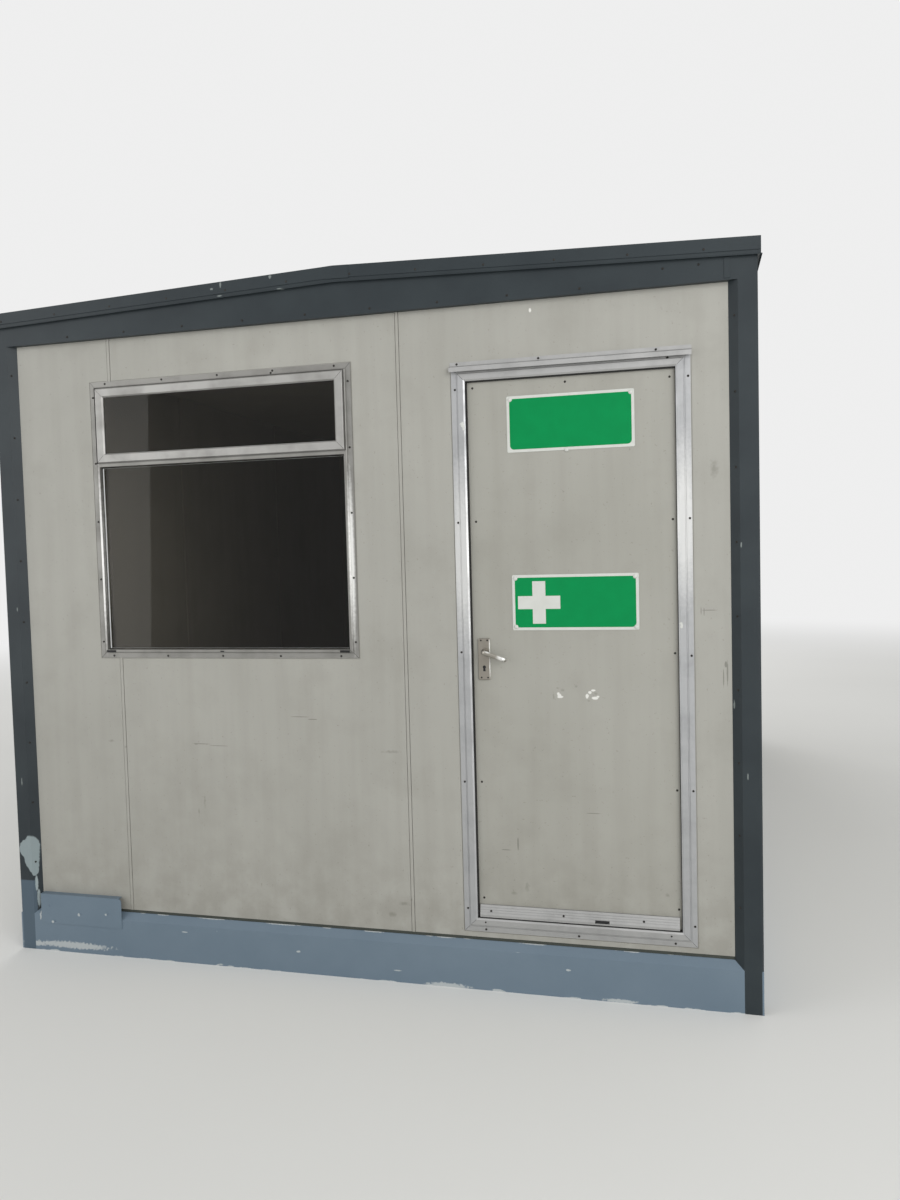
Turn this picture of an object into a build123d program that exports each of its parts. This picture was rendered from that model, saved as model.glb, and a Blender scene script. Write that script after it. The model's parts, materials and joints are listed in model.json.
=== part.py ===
from build123d import *
from math import atan2, cos, pi, radians, sin
import os

os.makedirs("parts", exist_ok=True)

# A portable site cabin: a steel frame on a base of channels, filled with flat panels,
# under a shallow roof whose ridge runs from the front to the back.
# The origin is on the ground at the middle of the base, X to the right, Y into the cabin, Z up.

# Wall panels
panel_module = 1203.0
narrow_panel = 421.0
side_panel_count = 4
wall_height = 2312.0
wall_thickness = 60.0
panel_gap = 15.0
seam_cap_width = 11.0
seam_cap_proud = 1.2
seam_groove_depth = 4.0
seam_tongue = 20.0
seam_slack = 0.3

# Steel frame
post_face = 64.0
post_lip = 30.0
post_fold = 6.0
frame_proud = 25.0
sheet = 4.0
base_height = 190.0
ledge_outer_drop = 38.0
ledge_inner_drop = 12.0
ledge_setback = 10.0
rail_depth = 110.0
eaves_beam_height = 83.0
post_cap = 6.0

# Floor
bearer_height = 60.0
bearer_width = 50.0
bearer_count = 3
bearer_end_gap = 600.0
joist_width = 47.0
joist_count = 5
joist_side_gap = 288.5
deck_thickness = 18.0

# Roof
roof_rise = 50.0
roof_core = 32.0
rib_height = 14.0
rib_foot = 60.0
rib_slope = 60.0
rib_count = 26
ridge_gap = 2.0
roof_joist_count = 8
roof_joist_end_gap = 365.0
ceiling_thickness = 9.0
trim_sheet = 2.0
trim_stand_off = 10.0
trim_overlap = 8.0
trim_flange = 40.0
trim_lip = 4.0
ridge_cap_width = 300.0

# Window: its outer flange starts before the first seam and ends below the heads of the panels
window_before_seam = 87.0
window_head_room = 167.0
window_width = 1106.0
window_height = 1105.0
window_flange = 21.0
window_flange_thickness = 3.0
window_nose = 12.0
window_nose_proud = 9.0
window_nose_slope = 3.0
window_frame_depth = 50.0
window_hole_slack = 1.0
transom_height = 38.0
transom_foot = 768.0
glass_thickness = 6.0
glass_setback = 20.0
glass_slack = 0.3
vent_inset = 29.0
vent_foot = 785.0
vent_face = 34.0
vent_thickness = 8.0
vent_bead = 5.0
vent_edge = 1.5
vent_leg = 4.0
vent_leg_depth = 17.0
vent_glass_setback = 9.0

# Door: the outer edge of its frame, and the panel that is left round it
door_frame_width = 839.0
door_left_margin = 201.0
door_right_margin = 125.0
door_foot = 22.0
door_head_room = 217.0
door_flange = 18.0
door_flange_thickness = 3.0
door_groove = 5.0
door_groove_depth = 2.0
door_face = 27.0
door_face_proud = 6.0
door_face_edge = 1.5
door_face_slope = 6.0
door_face_drop = 3.0
door_stop_back = 7.0
door_liner_inset = 21.0
door_liner = 12.0
door_hole_slack = 1.0
leaf_overlap = 10.0
leaf_gap = 5.0
leaf_thickness = 44.0
leaf_corner = 1.5
drip_bar_height = 19.0
drip_bar_fold = 6.0
drip_bar_fall = 7.5
drip_bar_proud = 22.0
drip_bar_overhang = 4.0
drip_bar_lip = 16.0
drip_bar_sheet = 2.0
weather_bar_inset = 60.0
weather_bar_foot = 78.0
weather_bar_height = 44.0
weather_bar_proud = 17.0
weather_bar_nose = 9.0
weather_bar_flat = 8.0
weather_bar_lines = 3
weather_bar_line_radius = 1.0
drip_groove = 3.0

# Door hinges
hinge_end_inset = 208.0
hinge_count = 3
hinge_length = 98.0
hinge_split_gap = 1.0
knuckle_radius = 6.0
hinge_pin_radius = 3.5
hinge_pin_slack = 0.3
hinge_plate = 2.5
hinge_plate_depth = 38.0
hinge_pin_inset = 11.0

# Door handle, measured from the outer edge of the frame
handle_inset = 96.0
handle_rise = 1044.0
plate_width = 44.0
plate_height = 152.0
plate_above_spindle = 47.0
plate_thickness = 7.0
plate_corner = 5.0
plate_edge = 2.0
spindle_size = 8.0
spindle_hole_radius = 7.0
neck_radius = 8.0
neck_slack = 0.5
neck_length = 36.0
collar_radius = 12.0
collar_height = 5.0
collar_slack = 0.3
lever_reach = 88.0
lever_droop = 20.0
lever_width = 17.0
lever_tip_width = 14.0
lever_thickness = 9.0
lever_return = 16.0
lever_bend = 12.0
keyhole_drop = 58.0
keyhole_radius = 4.5
keyhole_slot_width = 3.5
keyhole_slot_drop = 11.0

# Plate screwed over the left foot of the front wall
foot_plate_left = 7.0
foot_plate_right = 386.0
foot_plate_bottom = -72.0
foot_plate_top = 51.0
foot_plate_thickness = 3.0
foot_plate_corner = 14.0

# Sizes that follow from the ones above
door_panel = door_left_margin + door_frame_width + door_right_margin
door_frame_height = wall_height - door_foot - door_head_room
front_width = narrow_panel + panel_module + door_panel
side_width = side_panel_count * panel_module
post_size = post_face + post_lip
half_width = front_width / 2 + post_size
half_length = side_width / 2 + post_size
wall_inner = frame_proud + wall_thickness
wall_top = base_height + wall_height
eaves_top = wall_top + eaves_beam_height
ridge_top = eaves_top + roof_rise
roof_slope = roof_rise / half_width
roof_angle = atan2(roof_rise, half_width)
roof_skin = roof_core + rib_height
seam_places = (narrow_panel, narrow_panel + panel_module)

# Places on the front wall, from the left end of the panels and from their feet
window_left = narrow_panel - window_before_seam
window_foot = wall_height - window_head_room - window_height
door_left = seam_places[1] + door_left_margin
door_right = door_left + door_frame_width
door_top = door_foot + door_frame_height
handle_across = door_left + handle_inset
handle_up = door_foot + handle_rise


def roof_line(x):
    """Height of the roof's bearing line above the ground at a distance x from the ridge."""
    return ridge_top - abs(x) * roof_slope


# Planes on the panel faces, with their origin at the lower left of the panels seen from outside
front_wall = Plane(
    (-front_width / 2, frame_proud - half_length, base_height),
    x_dir=(1, 0, 0),
    z_dir=(0, -1, 0),
)
back_wall_plane = Plane(
    (front_width / 2, half_length - frame_proud, base_height),
    x_dir=(-1, 0, 0),
    z_dir=(0, 1, 0),
)
left_wall_plane = Plane(
    (frame_proud - half_width, side_width / 2, base_height),
    x_dir=(0, -1, 0),
    z_dir=(-1, 0, 0),
)
right_wall_plane = Plane(
    (half_width - frame_proud, -side_width / 2, base_height),
    x_dir=(0, 1, 0),
    z_dir=(1, 0, 0),
)

# Planes at the outer corners of the base, turned so that each post is drawn the same way
corner_planes = {
    "front_left": Plane((-half_width, -half_length, 0), x_dir=(1, 0, 0), z_dir=(0, 0, 1)),
    "front_right": Plane((half_width, -half_length, 0), x_dir=(0, 1, 0), z_dir=(0, 0, 1)),
    "back_right": Plane((half_width, half_length, 0), x_dir=(-1, 0, 0), z_dir=(0, 0, 1)),
    "back_left": Plane((-half_width, half_length, 0), x_dir=(0, -1, 0), z_dir=(0, 0, 1)),
}

# Planes on the roof's bearing surface, right and left of the ridge
roof_planes = {
    "right": Plane((half_width, 0, eaves_top), x_dir=(0, 1, 0), z_dir=(sin(roof_angle), 0, cos(roof_angle))),
    "left": Plane((-half_width, 0, eaves_top), x_dir=(0, 1, 0), z_dir=(-sin(roof_angle), 0, cos(roof_angle))),
}


def save(piece, name):
    piece.label = name
    export_step(piece, f"parts/{name}.step")


def post_outline():
    """Plan of a post: two outer faces with a splay from each one back to the panels."""
    return Polygon(
        (post_fold, 0),
        (post_face, 0),
        (post_size, frame_proud),
        (post_size, wall_inner),
        (wall_inner, post_size),
        (frame_proud, post_size),
        (0, post_face),
        (0, post_fold),
        align=None,
    )


def post_head_outline():
    """Plan of a post above the panels, where its faces are full width."""
    return Polygon(
        (post_fold, 0),
        (post_size, 0),
        (post_size, wall_inner),
        (wall_inner, post_size),
        (0, post_size),
        (0, post_fold),
        align=None,
    )


def post_plans(level):
    """Plans of the four posts at a level, to be cut out of what is fitted round them."""
    with BuildSketch(*[plane.offset(level) for plane in corner_planes.values()]) as plans:
        post_outline()
    return plans.sketch


def mitre_plane(corner):
    """Upright plane through a corner, on the diagonal between its two edges."""
    plane = corner_planes[corner]
    inward = plane.x_dir + plane.y_dir
    across = plane.x_dir - plane.y_dir
    return Plane(plane.origin, x_dir=inward, z_dir=across)


# Corner posts, folded from sheet and closed at the head
for corner, plane in corner_planes.items():
    with BuildPart() as post:
        with BuildSketch(plane):
            post_outline()
            offset(amount=-sheet, kind=Kind.INTERSECTION, mode=Mode.SUBTRACT)
        extrude(amount=wall_top)
        with BuildSketch(plane.offset(wall_top)):
            post_head_outline()
            offset(amount=-sheet, kind=Kind.INTERSECTION, mode=Mode.SUBTRACT)
        extrude(amount=eaves_beam_height + roof_rise)
        with BuildSketch(plane.offset(wall_top)):
            post_head_outline()
        extrude(amount=post_cap)
        side = corner.split("_")[1]
        split(bisect_by=roof_planes[side], keep=Keep.BOTTOM)
    save(post.part, f"post_{corner}")


def rail_section():
    """Channel of the base: outer face, sloping ledge, seat for the panels, and flanges inwards."""
    seat = frame_proud + ledge_setback
    Polygon(
        (0, 0),
        (0, base_height - ledge_outer_drop),
        (frame_proud, base_height - ledge_inner_drop),
        (seat, base_height - ledge_inner_drop),
        (seat, base_height),
        (rail_depth, base_height),
        (rail_depth, 0),
        align=None,
    )
    offset(amount=-sheet, kind=Kind.INTERSECTION, mode=Mode.SUBTRACT)
    with Locations((rail_depth - sheet, sheet)):
        Rectangle(2 * sheet, base_height - 2 * sheet, align=(Align.MIN, Align.MIN), mode=Mode.SUBTRACT)


# Rails of the base, mitred at the corners and fitted round the posts
rail_ends = {
    "base_rail_front": ("front_left", "front_right"),
    "base_rail_right": ("front_right", "back_right"),
    "base_rail_back": ("back_right", "back_left"),
    "base_rail_left": ("back_left", "front_left"),
}
for name, corners in rail_ends.items():
    start_plane, end_plane = (corner_planes[corner] for corner in corners)
    run = (end_plane.origin - start_plane.origin).length
    with BuildPart() as rail:
        with BuildSketch(Plane(start_plane.origin, x_dir=start_plane.y_dir, z_dir=start_plane.x_dir)):
            rail_section()
        extrude(amount=run)
        extrude(post_plans(0), amount=base_height, mode=Mode.SUBTRACT)
        split(bisect_by=mitre_plane(corners[0]), keep=Keep.TOP)
        split(bisect_by=mitre_plane(corners[1]), keep=Keep.BOTTOM)
    save(rail.part, name)

# Bearers across the base, which lie on the ground between the side rails
with BuildPart() as floor_bearers:
    with BuildSketch(Plane.YZ.offset(rail_depth - half_width)):
        with GridLocations(2 * (half_length - bearer_end_gap) / (bearer_count - 1), 0, bearer_count, 1):
            Rectangle(bearer_width, bearer_height, align=(Align.CENTER, Align.MIN))
        offset(amount=-sheet, kind=Kind.INTERSECTION, mode=Mode.SUBTRACT)
    extrude(amount=2 * (half_width - rail_depth))
save(floor_bearers.part, "floor_bearers")

# Floor joists on the bearers, with tongues under the flanges of the front and back rails
joist_end = half_length - frame_proud - ledge_setback - sheet
joist_spacing = 2 * (half_width - joist_side_gap) / (joist_count - 1)
with BuildPart() as floor_joists:
    with BuildSketch(*[
        Plane.YZ.offset((step - (joist_count - 1) / 2) * joist_spacing - joist_width / 2)
        for step in range(joist_count)
    ]):
        with Locations((0, bearer_height)):
            Rectangle(2 * joist_end, base_height - bearer_height, align=(Align.CENTER, Align.MIN))
        with Locations((half_length - rail_depth, base_height - sheet)):
            Rectangle(rail_depth, sheet, align=(Align.MIN, Align.MIN), mode=Mode.SUBTRACT)
        with Locations((rail_depth - half_length, base_height - sheet)):
            Rectangle(rail_depth, sheet, align=(Align.MAX, Align.MIN), mode=Mode.SUBTRACT)
    extrude(amount=joist_width)
save(floor_joists.part, "floor_joists")

# Floor deck between the walls
with BuildPart() as floor_deck:
    with BuildSketch(Plane.XY.offset(base_height)):
        Rectangle(2 * (half_width - wall_inner), 2 * (half_length - wall_inner))
    extrude(amount=deck_thickness)
    extrude(post_plans(base_height), amount=deck_thickness, mode=Mode.SUBTRACT)
save(floor_deck.part, "floor_deck")

# Ceiling board between the walls
with BuildPart() as ceiling_board:
    with BuildSketch(Plane.XY.offset(wall_top - ceiling_thickness)):
        Rectangle(2 * (half_width - wall_inner), 2 * (half_length - wall_inner))
    extrude(amount=ceiling_thickness)
    extrude(post_plans(wall_top - ceiling_thickness), amount=ceiling_thickness, mode=Mode.SUBTRACT)
save(ceiling_board.part, "ceiling_board")

# Side walls and back wall: flat panels with a narrow gap between neighbours
plain_walls = {
    "left_wall": (left_wall_plane, [panel_module] * side_panel_count),
    "right_wall": (right_wall_plane, [panel_module] * side_panel_count),
    "back_wall": (back_wall_plane, [door_panel, panel_module, narrow_panel]),
}
for name, (plane, widths) in plain_walls.items():
    with BuildPart() as wall:
        with BuildSketch(plane):
            start = 0.0
            for number, width in enumerate(widths):
                left_trim = 0.0 if number == 0 else panel_gap / 2
                right_trim = 0.0 if number == len(widths) - 1 else panel_gap / 2
                with Locations((start + left_trim, 0)):
                    Rectangle(width - left_trim - right_trim, wall_height, align=(Align.MIN, Align.MIN))
                start += width
        extrude(amount=-wall_thickness)
    save(wall.part, name)

# Window and door holes in the front wall
window_hole_inset = window_flange - window_hole_slack
window_centre = (window_left + window_width / 2, window_foot + window_height / 2)
door_hole_inset = door_liner_inset - door_hole_slack
door_hole_left = door_left + door_hole_inset
door_hole_right = door_right - door_hole_inset
door_hole_foot = door_foot + door_hole_inset
door_hole_top = door_top - door_hole_inset


def cut_window_hole():
    with Locations(window_centre):
        Rectangle(
            window_width - 2 * window_hole_inset,
            window_height - 2 * window_hole_inset,
            mode=Mode.SUBTRACT,
        )


# Front wall: a narrow panel and a full panel with the window across their seam
with BuildPart() as front_wall_left:
    with BuildSketch(front_wall):
        Rectangle(narrow_panel - panel_gap / 2, wall_height, align=(Align.MIN, Align.MIN))
        cut_window_hole()
    extrude(amount=-wall_thickness)
save(front_wall_left.part, "front_wall_left")

with BuildPart() as front_wall_window:
    with BuildSketch(front_wall):
        with Locations((seam_places[0] + panel_gap / 2, 0)):
            Rectangle(panel_module - panel_gap, wall_height, align=(Align.MIN, Align.MIN))
        cut_window_hole()
    extrude(amount=-wall_thickness)
save(front_wall_window.part, "front_wall_window")

# Front wall round the doorway: beside it on both sides, over it and under it
doorway_pieces = {
    "front_wall_door_side": (seam_places[1] + panel_gap / 2, door_hole_left, 0, wall_height),
    "front_wall_door_end": (door_hole_right, front_width, 0, wall_height),
    "front_wall_door_head": (door_hole_left, door_hole_right, door_hole_top, wall_height),
    "front_wall_door_foot": (door_hole_left, door_hole_right, 0, door_hole_foot),
}
for name, (left, right, foot, top) in doorway_pieces.items():
    with BuildPart() as slab:
        with BuildSketch(front_wall):
            with Locations((left, foot)):
                Rectangle(right - left, top - foot, align=(Align.MIN, Align.MIN))
        extrude(amount=-wall_thickness)
    save(slab.part, name)


seam_runs = [
    (front_wall, seam_places[0], 0, window_foot),
    (front_wall, seam_places[0], window_foot + window_height, wall_height),
    (front_wall, seam_places[1], 0, wall_height),
    (back_wall_plane, door_panel, 0, wall_height),
    (back_wall_plane, door_panel + panel_module, 0, wall_height),
]
for plane in (left_wall_plane, right_wall_plane):
    for step in range(1, side_panel_count):
        seam_runs.append((plane, step * panel_module, 0, wall_height))

# Strips in the joints between panels, with a shadow groove along each side
with BuildPart() as seam_strips:
    for plane, across, foot, top in seam_runs:
        with BuildSketch(plane.offset(-seam_groove_depth)):
            with Locations((across, foot)):
                Rectangle(seam_cap_width, top - foot, align=(Align.CENTER, Align.MIN))
        extrude(amount=seam_cap_proud + seam_groove_depth)
        with BuildSketch(plane.offset(-seam_groove_depth)):
            with Locations((across, foot)):
                Rectangle(panel_gap - 2 * seam_slack, top - foot, align=(Align.CENTER, Align.MIN))
        extrude(amount=seam_groove_depth - seam_tongue)
save(seam_strips.part, "seam_strips")

# Eaves beams over the side walls: channels open to the inside, with their tops on the roof's slope
eaves_run = 2 * (half_length - post_size)
eaves_ends = {
    "eaves_beam_left": Plane((-half_width, half_length - post_size, 0), x_dir=(1, 0, 0), z_dir=(0, -1, 0)),
    "eaves_beam_right": Plane((half_width, post_size - half_length, 0), x_dir=(-1, 0, 0), z_dir=(0, 1, 0)),
}
for name, plane in eaves_ends.items():
    with BuildPart() as beam:
        with BuildSketch(plane):
            Polygon(
                (0, wall_top),
                (0, eaves_top),
                (wall_inner, roof_line(half_width - wall_inner)),
                (wall_inner, wall_top),
                align=None,
            )
            offset(amount=-sheet, kind=Kind.INTERSECTION, mode=Mode.SUBTRACT)
            with Locations((wall_inner - sheet, wall_top + sheet)):
                Rectangle(
                    2 * sheet,
                    eaves_beam_height - 2 * sheet,
                    align=(Align.MIN, Align.MIN),
                    mode=Mode.SUBTRACT,
                )
        extrude(amount=eaves_run)
    save(beam.part, name)

# Gable beams over the front and back walls, with the roof's slopes along their tops
gable_half = half_width - post_size
gable_faces = {
    "gable_beam_front": Plane((0, -half_length, 0), x_dir=(1, 0, 0), z_dir=(0, -1, 0)),
    "gable_beam_back": Plane((0, half_length, 0), x_dir=(-1, 0, 0), z_dir=(0, 1, 0)),
}
for name, plane in gable_faces.items():
    with BuildPart() as beam:
        with BuildSketch(plane):
            Polygon(
                (-gable_half, wall_top),
                (gable_half, wall_top),
                (gable_half, roof_line(gable_half)),
                (0, ridge_top),
                (-gable_half, roof_line(gable_half)),
                align=None,
            )
        extrude(amount=-wall_inner)
        with BuildSketch(plane.offset(-wall_inner)):
            Polygon(
                (-gable_half, wall_top),
                (gable_half, wall_top),
                (gable_half, roof_line(gable_half)),
                (0, ridge_top),
                (-gable_half, roof_line(gable_half)),
                align=None,
            )
            offset(amount=-sheet, kind=Kind.INTERSECTION)
        extrude(amount=wall_inner - sheet, mode=Mode.SUBTRACT)
    save(beam.part, name)

# Roof joists, tapered both ways from the ridge, with tongues in the eaves beams
roof_joist_half = half_width - wall_inner
tongue_half = half_width - 2 * sheet
roof_joist_spacing = 2 * (half_length - roof_joist_end_gap) / (roof_joist_count - 1)
with BuildPart() as roof_joists:
    with BuildSketch(*[
        Plane.XZ.offset((step - (roof_joist_count - 1) / 2) * roof_joist_spacing - joist_width / 2)
        for step in range(roof_joist_count)
    ]):
        Polygon(
            (-tongue_half, wall_top + sheet),
            (-roof_joist_half, wall_top + sheet),
            (-roof_joist_half, wall_top),
            (roof_joist_half, wall_top),
            (roof_joist_half, wall_top + sheet),
            (tongue_half, wall_top + sheet),
            (tongue_half, roof_line(tongue_half) - 2 * sheet),
            (roof_joist_half, roof_line(roof_joist_half) - 2 * sheet),
            (roof_joist_half, roof_line(roof_joist_half)),
            (0, ridge_top),
            (-roof_joist_half, roof_line(roof_joist_half)),
            (-roof_joist_half, roof_line(roof_joist_half) - 2 * sheet),
            (-tongue_half, roof_line(tongue_half) - 2 * sheet),
            align=None,
        )
    extrude(amount=joist_width)
save(roof_joists.part, "roof_joists")

# Roof panels: a flat core with ribs that run down the slope, one panel each side of the ridge
slope_length = half_width / cos(roof_angle)
rib_spacing = (2 * half_length - rib_foot) / (rib_count - 1)
for side, sign in (("left", -1), ("right", 1)):
    ridge_end = Plane(
        (0, 0, ridge_top),
        x_dir=(0, sign, 0),
        z_dir=(sign * cos(roof_angle), 0, -sin(roof_angle)),
    )
    with BuildPart() as roof_panel:
        with BuildSketch(ridge_end.offset(ridge_gap)):
            Rectangle(2 * half_length, roof_core, align=(Align.CENTER, Align.MIN))
            with Locations((0, roof_core + rib_height / 2)):
                with GridLocations(rib_spacing, 0, rib_count, 1):
                    Trapezoid(rib_foot, rib_height, rib_slope)
        extrude(amount=slope_length - ridge_gap)
    save(roof_panel.part, f"roof_panel_{side}")

# Cap over the ridge, folded from sheet
with BuildPart() as ridge_cap:
    with BuildSketch(Plane.XZ.offset(half_length - trim_flange)):
        cap_half = ridge_cap_width / 2
        cap_rise = roof_skin / cos(roof_angle)
        Polygon(
            (-cap_half, roof_line(cap_half) + cap_rise),
            (0, ridge_top + cap_rise),
            (cap_half, roof_line(cap_half) + cap_rise),
            (cap_half, roof_line(cap_half) + cap_rise + trim_sheet),
            (0, ridge_top + cap_rise + trim_sheet),
            (-cap_half, roof_line(cap_half) + cap_rise + trim_sheet),
            align=None,
        )
    extrude(amount=-2 * (half_length - trim_flange))
save(ridge_cap.part, "ridge_cap")


def trim_section(top, slope):
    """Edge trim: a face that stands off the beam, a flange on the ribs and a drip lip below."""
    inner = trim_flange
    outer = -trim_stand_off
    Polygon(
        (outer, -trim_overlap),
        (outer, top + trim_sheet + outer * slope),
        (inner, top + trim_sheet + inner * slope),
        (inner, top + inner * slope),
        (outer + trim_sheet, top + (outer + trim_sheet) * slope),
        (outer + trim_sheet, trim_sheet - trim_overlap),
        (0, trim_sheet - trim_overlap),
        (0, -trim_overlap),
        (outer + trim_sheet, -trim_overlap),
        (outer - trim_lip, -trim_overlap - trim_lip),
        (outer - trim_lip, trim_sheet - trim_overlap - trim_lip),
        align=None,
    )


trim_reach = trim_stand_off + trim_lip

# Verge trims along the front and back edges of the roof, folded over the ridge
verge_ends = {
    "verge_trim_front": ("front_right", -half_length, 1, Keep.TOP),
    "verge_trim_back": ("back_left", half_length, -1, Keep.BOTTOM),
}
for name, (corner, edge, sign, ridge_side) in verge_ends.items():
    down_slope = Plane(
        (0, edge, ridge_top),
        x_dir=(0, sign, 0),
        z_dir=(sign * cos(roof_angle), 0, -sin(roof_angle)),
    )
    with BuildPart() as trim:
        with BuildSketch(down_slope.offset(-trim_reach)):
            trim_section(roof_skin, 0)
        extrude(amount=slope_length + 2 * trim_reach)
        split(bisect_by=Plane.YZ, keep=ridge_side)
        split(bisect_by=mitre_plane(corner), keep=Keep.BOTTOM)
        mirror(about=Plane.YZ)
    save(trim.part, name)

# Eaves trims along the left and right edges of the roof
for side, corner_pair in (("left", ("back_left", "front_left")), ("right", ("front_right", "back_right"))):
    start_plane = corner_planes[corner_pair[0]]
    along = start_plane.x_dir
    inward = start_plane.y_dir
    origin = start_plane.origin + Vector(0, 0, eaves_top) - along * trim_reach
    with BuildPart() as trim:
        with BuildSketch(Plane(origin, x_dir=inward, z_dir=along)):
            trim_section(roof_skin / cos(roof_angle), roof_slope)
        extrude(amount=2 * (half_length + trim_reach))
        split(bisect_by=mitre_plane(corner_pair[0]), keep=Keep.TOP)
        split(bisect_by=mitre_plane(corner_pair[1]), keep=Keep.BOTTOM)
    save(trim.part, f"eaves_trim_{side}")


def ring(inset_outer, inset_inner, centre, width, height):
    """A rectangular ring between two insets from an outline of the given size."""
    with Locations(centre):
        Rectangle(width - 2 * inset_outer, height - 2 * inset_outer)
        Rectangle(width - 2 * inset_inner, height - 2 * inset_inner, mode=Mode.SUBTRACT)


# Window frame: a flange on the panels, a nose proud of it and a box through the wall
window_inner = window_flange + window_nose
window_size = (window_centre, window_width, window_height)
with BuildPart() as window_frame:
    with BuildSketch(front_wall):
        ring(0, window_inner, *window_size)
    extrude(amount=window_flange_thickness)
    with BuildSketch(front_wall.offset(-window_frame_depth)):
        ring(window_flange, window_inner, *window_size)
    extrude(amount=window_frame_depth + window_nose_proud)
    nose_edges = window_frame.faces().sort_by(Axis.Y)[0].outer_wire().edges()
    chamfer(nose_edges, window_nose_slope)
save(window_frame.part, "window_frame")

# Transom between the vent and the fixed glass
window_clear_width = window_width - 2 * window_inner
with BuildPart() as window_transom:
    with BuildSketch(front_wall.offset(-window_frame_depth)):
        with Locations((window_centre[0], window_foot + transom_foot)):
            Rectangle(window_clear_width, transom_height, align=(Align.CENTER, Align.MIN))
    extrude(amount=window_frame_depth + window_nose_proud)
save(window_transom.part, "window_transom")

# Vent sash over the upper part of the window, with a leg that holds its glass
vent_width = window_width - 2 * vent_inset
vent_height = window_height - vent_inset - vent_foot
vent_size = ((window_centre[0], window_foot + vent_foot + vent_height / 2), vent_width, vent_height)
with BuildPart() as vent_sash:
    with BuildSketch(front_wall.offset(window_nose_proud)):
        ring(0, vent_face, *vent_size)
    extrude(amount=vent_thickness)
    sash_face = vent_sash.faces().sort_by(Axis.Y)[0]
    sash_edges = sash_face.outer_wire().edges()
    bead_edges = sash_face.inner_wires()[0].edges()
    chamfer(sash_edges, vent_edge)
    chamfer(bead_edges, vent_bead)
    with BuildSketch(front_wall.offset(window_nose_proud)):
        ring(vent_face - vent_leg, vent_face, *vent_size)
    extrude(amount=-vent_leg_depth)
save(vent_sash.part, "vent_sash")

# Panes
vent_glass_face = window_nose_proud + vent_thickness - vent_glass_setback
with BuildPart() as vent_glass:
    with BuildSketch(front_wall.offset(vent_glass_face)):
        with Locations(vent_size[0]):
            Rectangle(
                vent_width - 2 * (vent_face + glass_slack),
                vent_height - 2 * (vent_face + glass_slack),
            )
    extrude(amount=-glass_thickness)
save(vent_glass.part, "vent_glass")

window_glass_height = transom_foot - window_inner - 2 * glass_slack
with BuildPart() as window_glass:
    with BuildSketch(front_wall.offset(window_nose_proud - glass_setback)):
        with Locations((window_centre[0], window_foot + window_inner + glass_slack)):
            Rectangle(
                window_clear_width - 2 * glass_slack,
                window_glass_height,
                align=(Align.CENTER, Align.MIN),
            )
    extrude(amount=-glass_thickness)
save(window_glass.part, "window_glass")

# Door frame: four mitred lengths of one extrusion
door_face_inset = door_flange + door_groove
door_sight = door_face_inset + door_face


def door_frame_section():
    """Extrusion of the door frame: flange, groove, proud face with its stop, and liner."""
    Rectangle(door_face_inset, door_flange_thickness, align=(Align.MIN, Align.MIN))
    with Locations((door_flange, door_flange_thickness)):
        Rectangle(door_groove, door_groove_depth, align=(Align.MIN, Align.MAX), mode=Mode.SUBTRACT)
    Polygon(
        (door_face_inset, -door_stop_back),
        (door_face_inset, door_face_proud - door_face_edge),
        (door_face_inset + door_face_edge, door_face_proud),
        (door_sight - door_face_slope, door_face_proud),
        (door_sight, door_face_proud - door_face_drop),
        (door_sight, -door_stop_back),
        align=None,
    )
    with Locations((door_liner_inset, 0)):
        Rectangle(door_liner, wall_thickness, align=(Align.MIN, Align.MAX))


door_middle = (door_left + door_frame_width / 2, door_foot + door_frame_height / 2)
door_members = {
    "door_jamb_left": ((door_left, door_middle[1]), Vector(1, 0, 0), door_frame_height),
    "door_jamb_right": ((door_right, door_middle[1]), Vector(-1, 0, 0), door_frame_height),
    "door_head": ((door_middle[0], door_top), Vector(0, 0, -1), door_frame_width),
    "door_sill": ((door_middle[0], door_foot), Vector(0, 0, 1), door_frame_width),
}
for name, (place, inward, length) in door_members.items():
    origin = front_wall.from_local_coords(Vector(*place))
    along = inward.cross(front_wall.z_dir)
    with BuildPart() as member:
        with BuildSketch(Plane(origin, x_dir=inward, z_dir=along)):
            door_frame_section()
        extrude(amount=length / 2, both=True)
        for end in (along, -along):
            split(bisect_by=Plane(origin + end * (length / 2), z_dir=end + inward), keep=Keep.BOTTOM)
    save(member.part, name)

# Drip bar over the door: a flange on the wall, a sloping top, and a deep lip before the door head
drip_bar_edge = drip_bar_fold - drip_bar_fall
drip_bar_back = drip_bar_proud - drip_bar_sheet
with BuildPart() as door_drip_bar:
    with BuildSketch(Plane(
        front_wall.from_local_coords(Vector(door_right + drip_bar_overhang, door_top)),
        x_dir=(0, -1, 0),
        z_dir=(-1, 0, 0),
    )):
        Polygon(
            (0, 0),
            (0, drip_bar_height),
            (drip_bar_sheet, drip_bar_height),
            (drip_bar_sheet, drip_bar_fold),
            (drip_bar_proud, drip_bar_edge),
            (drip_bar_proud, drip_bar_edge - drip_bar_lip),
            (drip_bar_back, drip_bar_edge - drip_bar_lip),
            (drip_bar_back, drip_bar_edge - drip_bar_sheet),
            (door_flange_thickness, 0),
            align=None,
        )
    extrude(amount=door_frame_width + 2 * drip_bar_overhang)
save(door_drip_bar.part, "door_drip_bar")

# Door leaf behind the stops, with holes for the spindle and the key
leaf_inset = door_sight - leaf_overlap
leaf_width = door_frame_width - 2 * leaf_inset
leaf_height = door_frame_height - 2 * leaf_inset
leaf_front = door_stop_back + leaf_gap
leaf_face = front_wall.offset(-leaf_front)


def keyhole_outline():
    with Locations((handle_across, handle_up - keyhole_drop)):
        Circle(keyhole_radius)
        Rectangle(keyhole_slot_width, keyhole_slot_drop, align=(Align.CENTER, Align.MAX))


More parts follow.
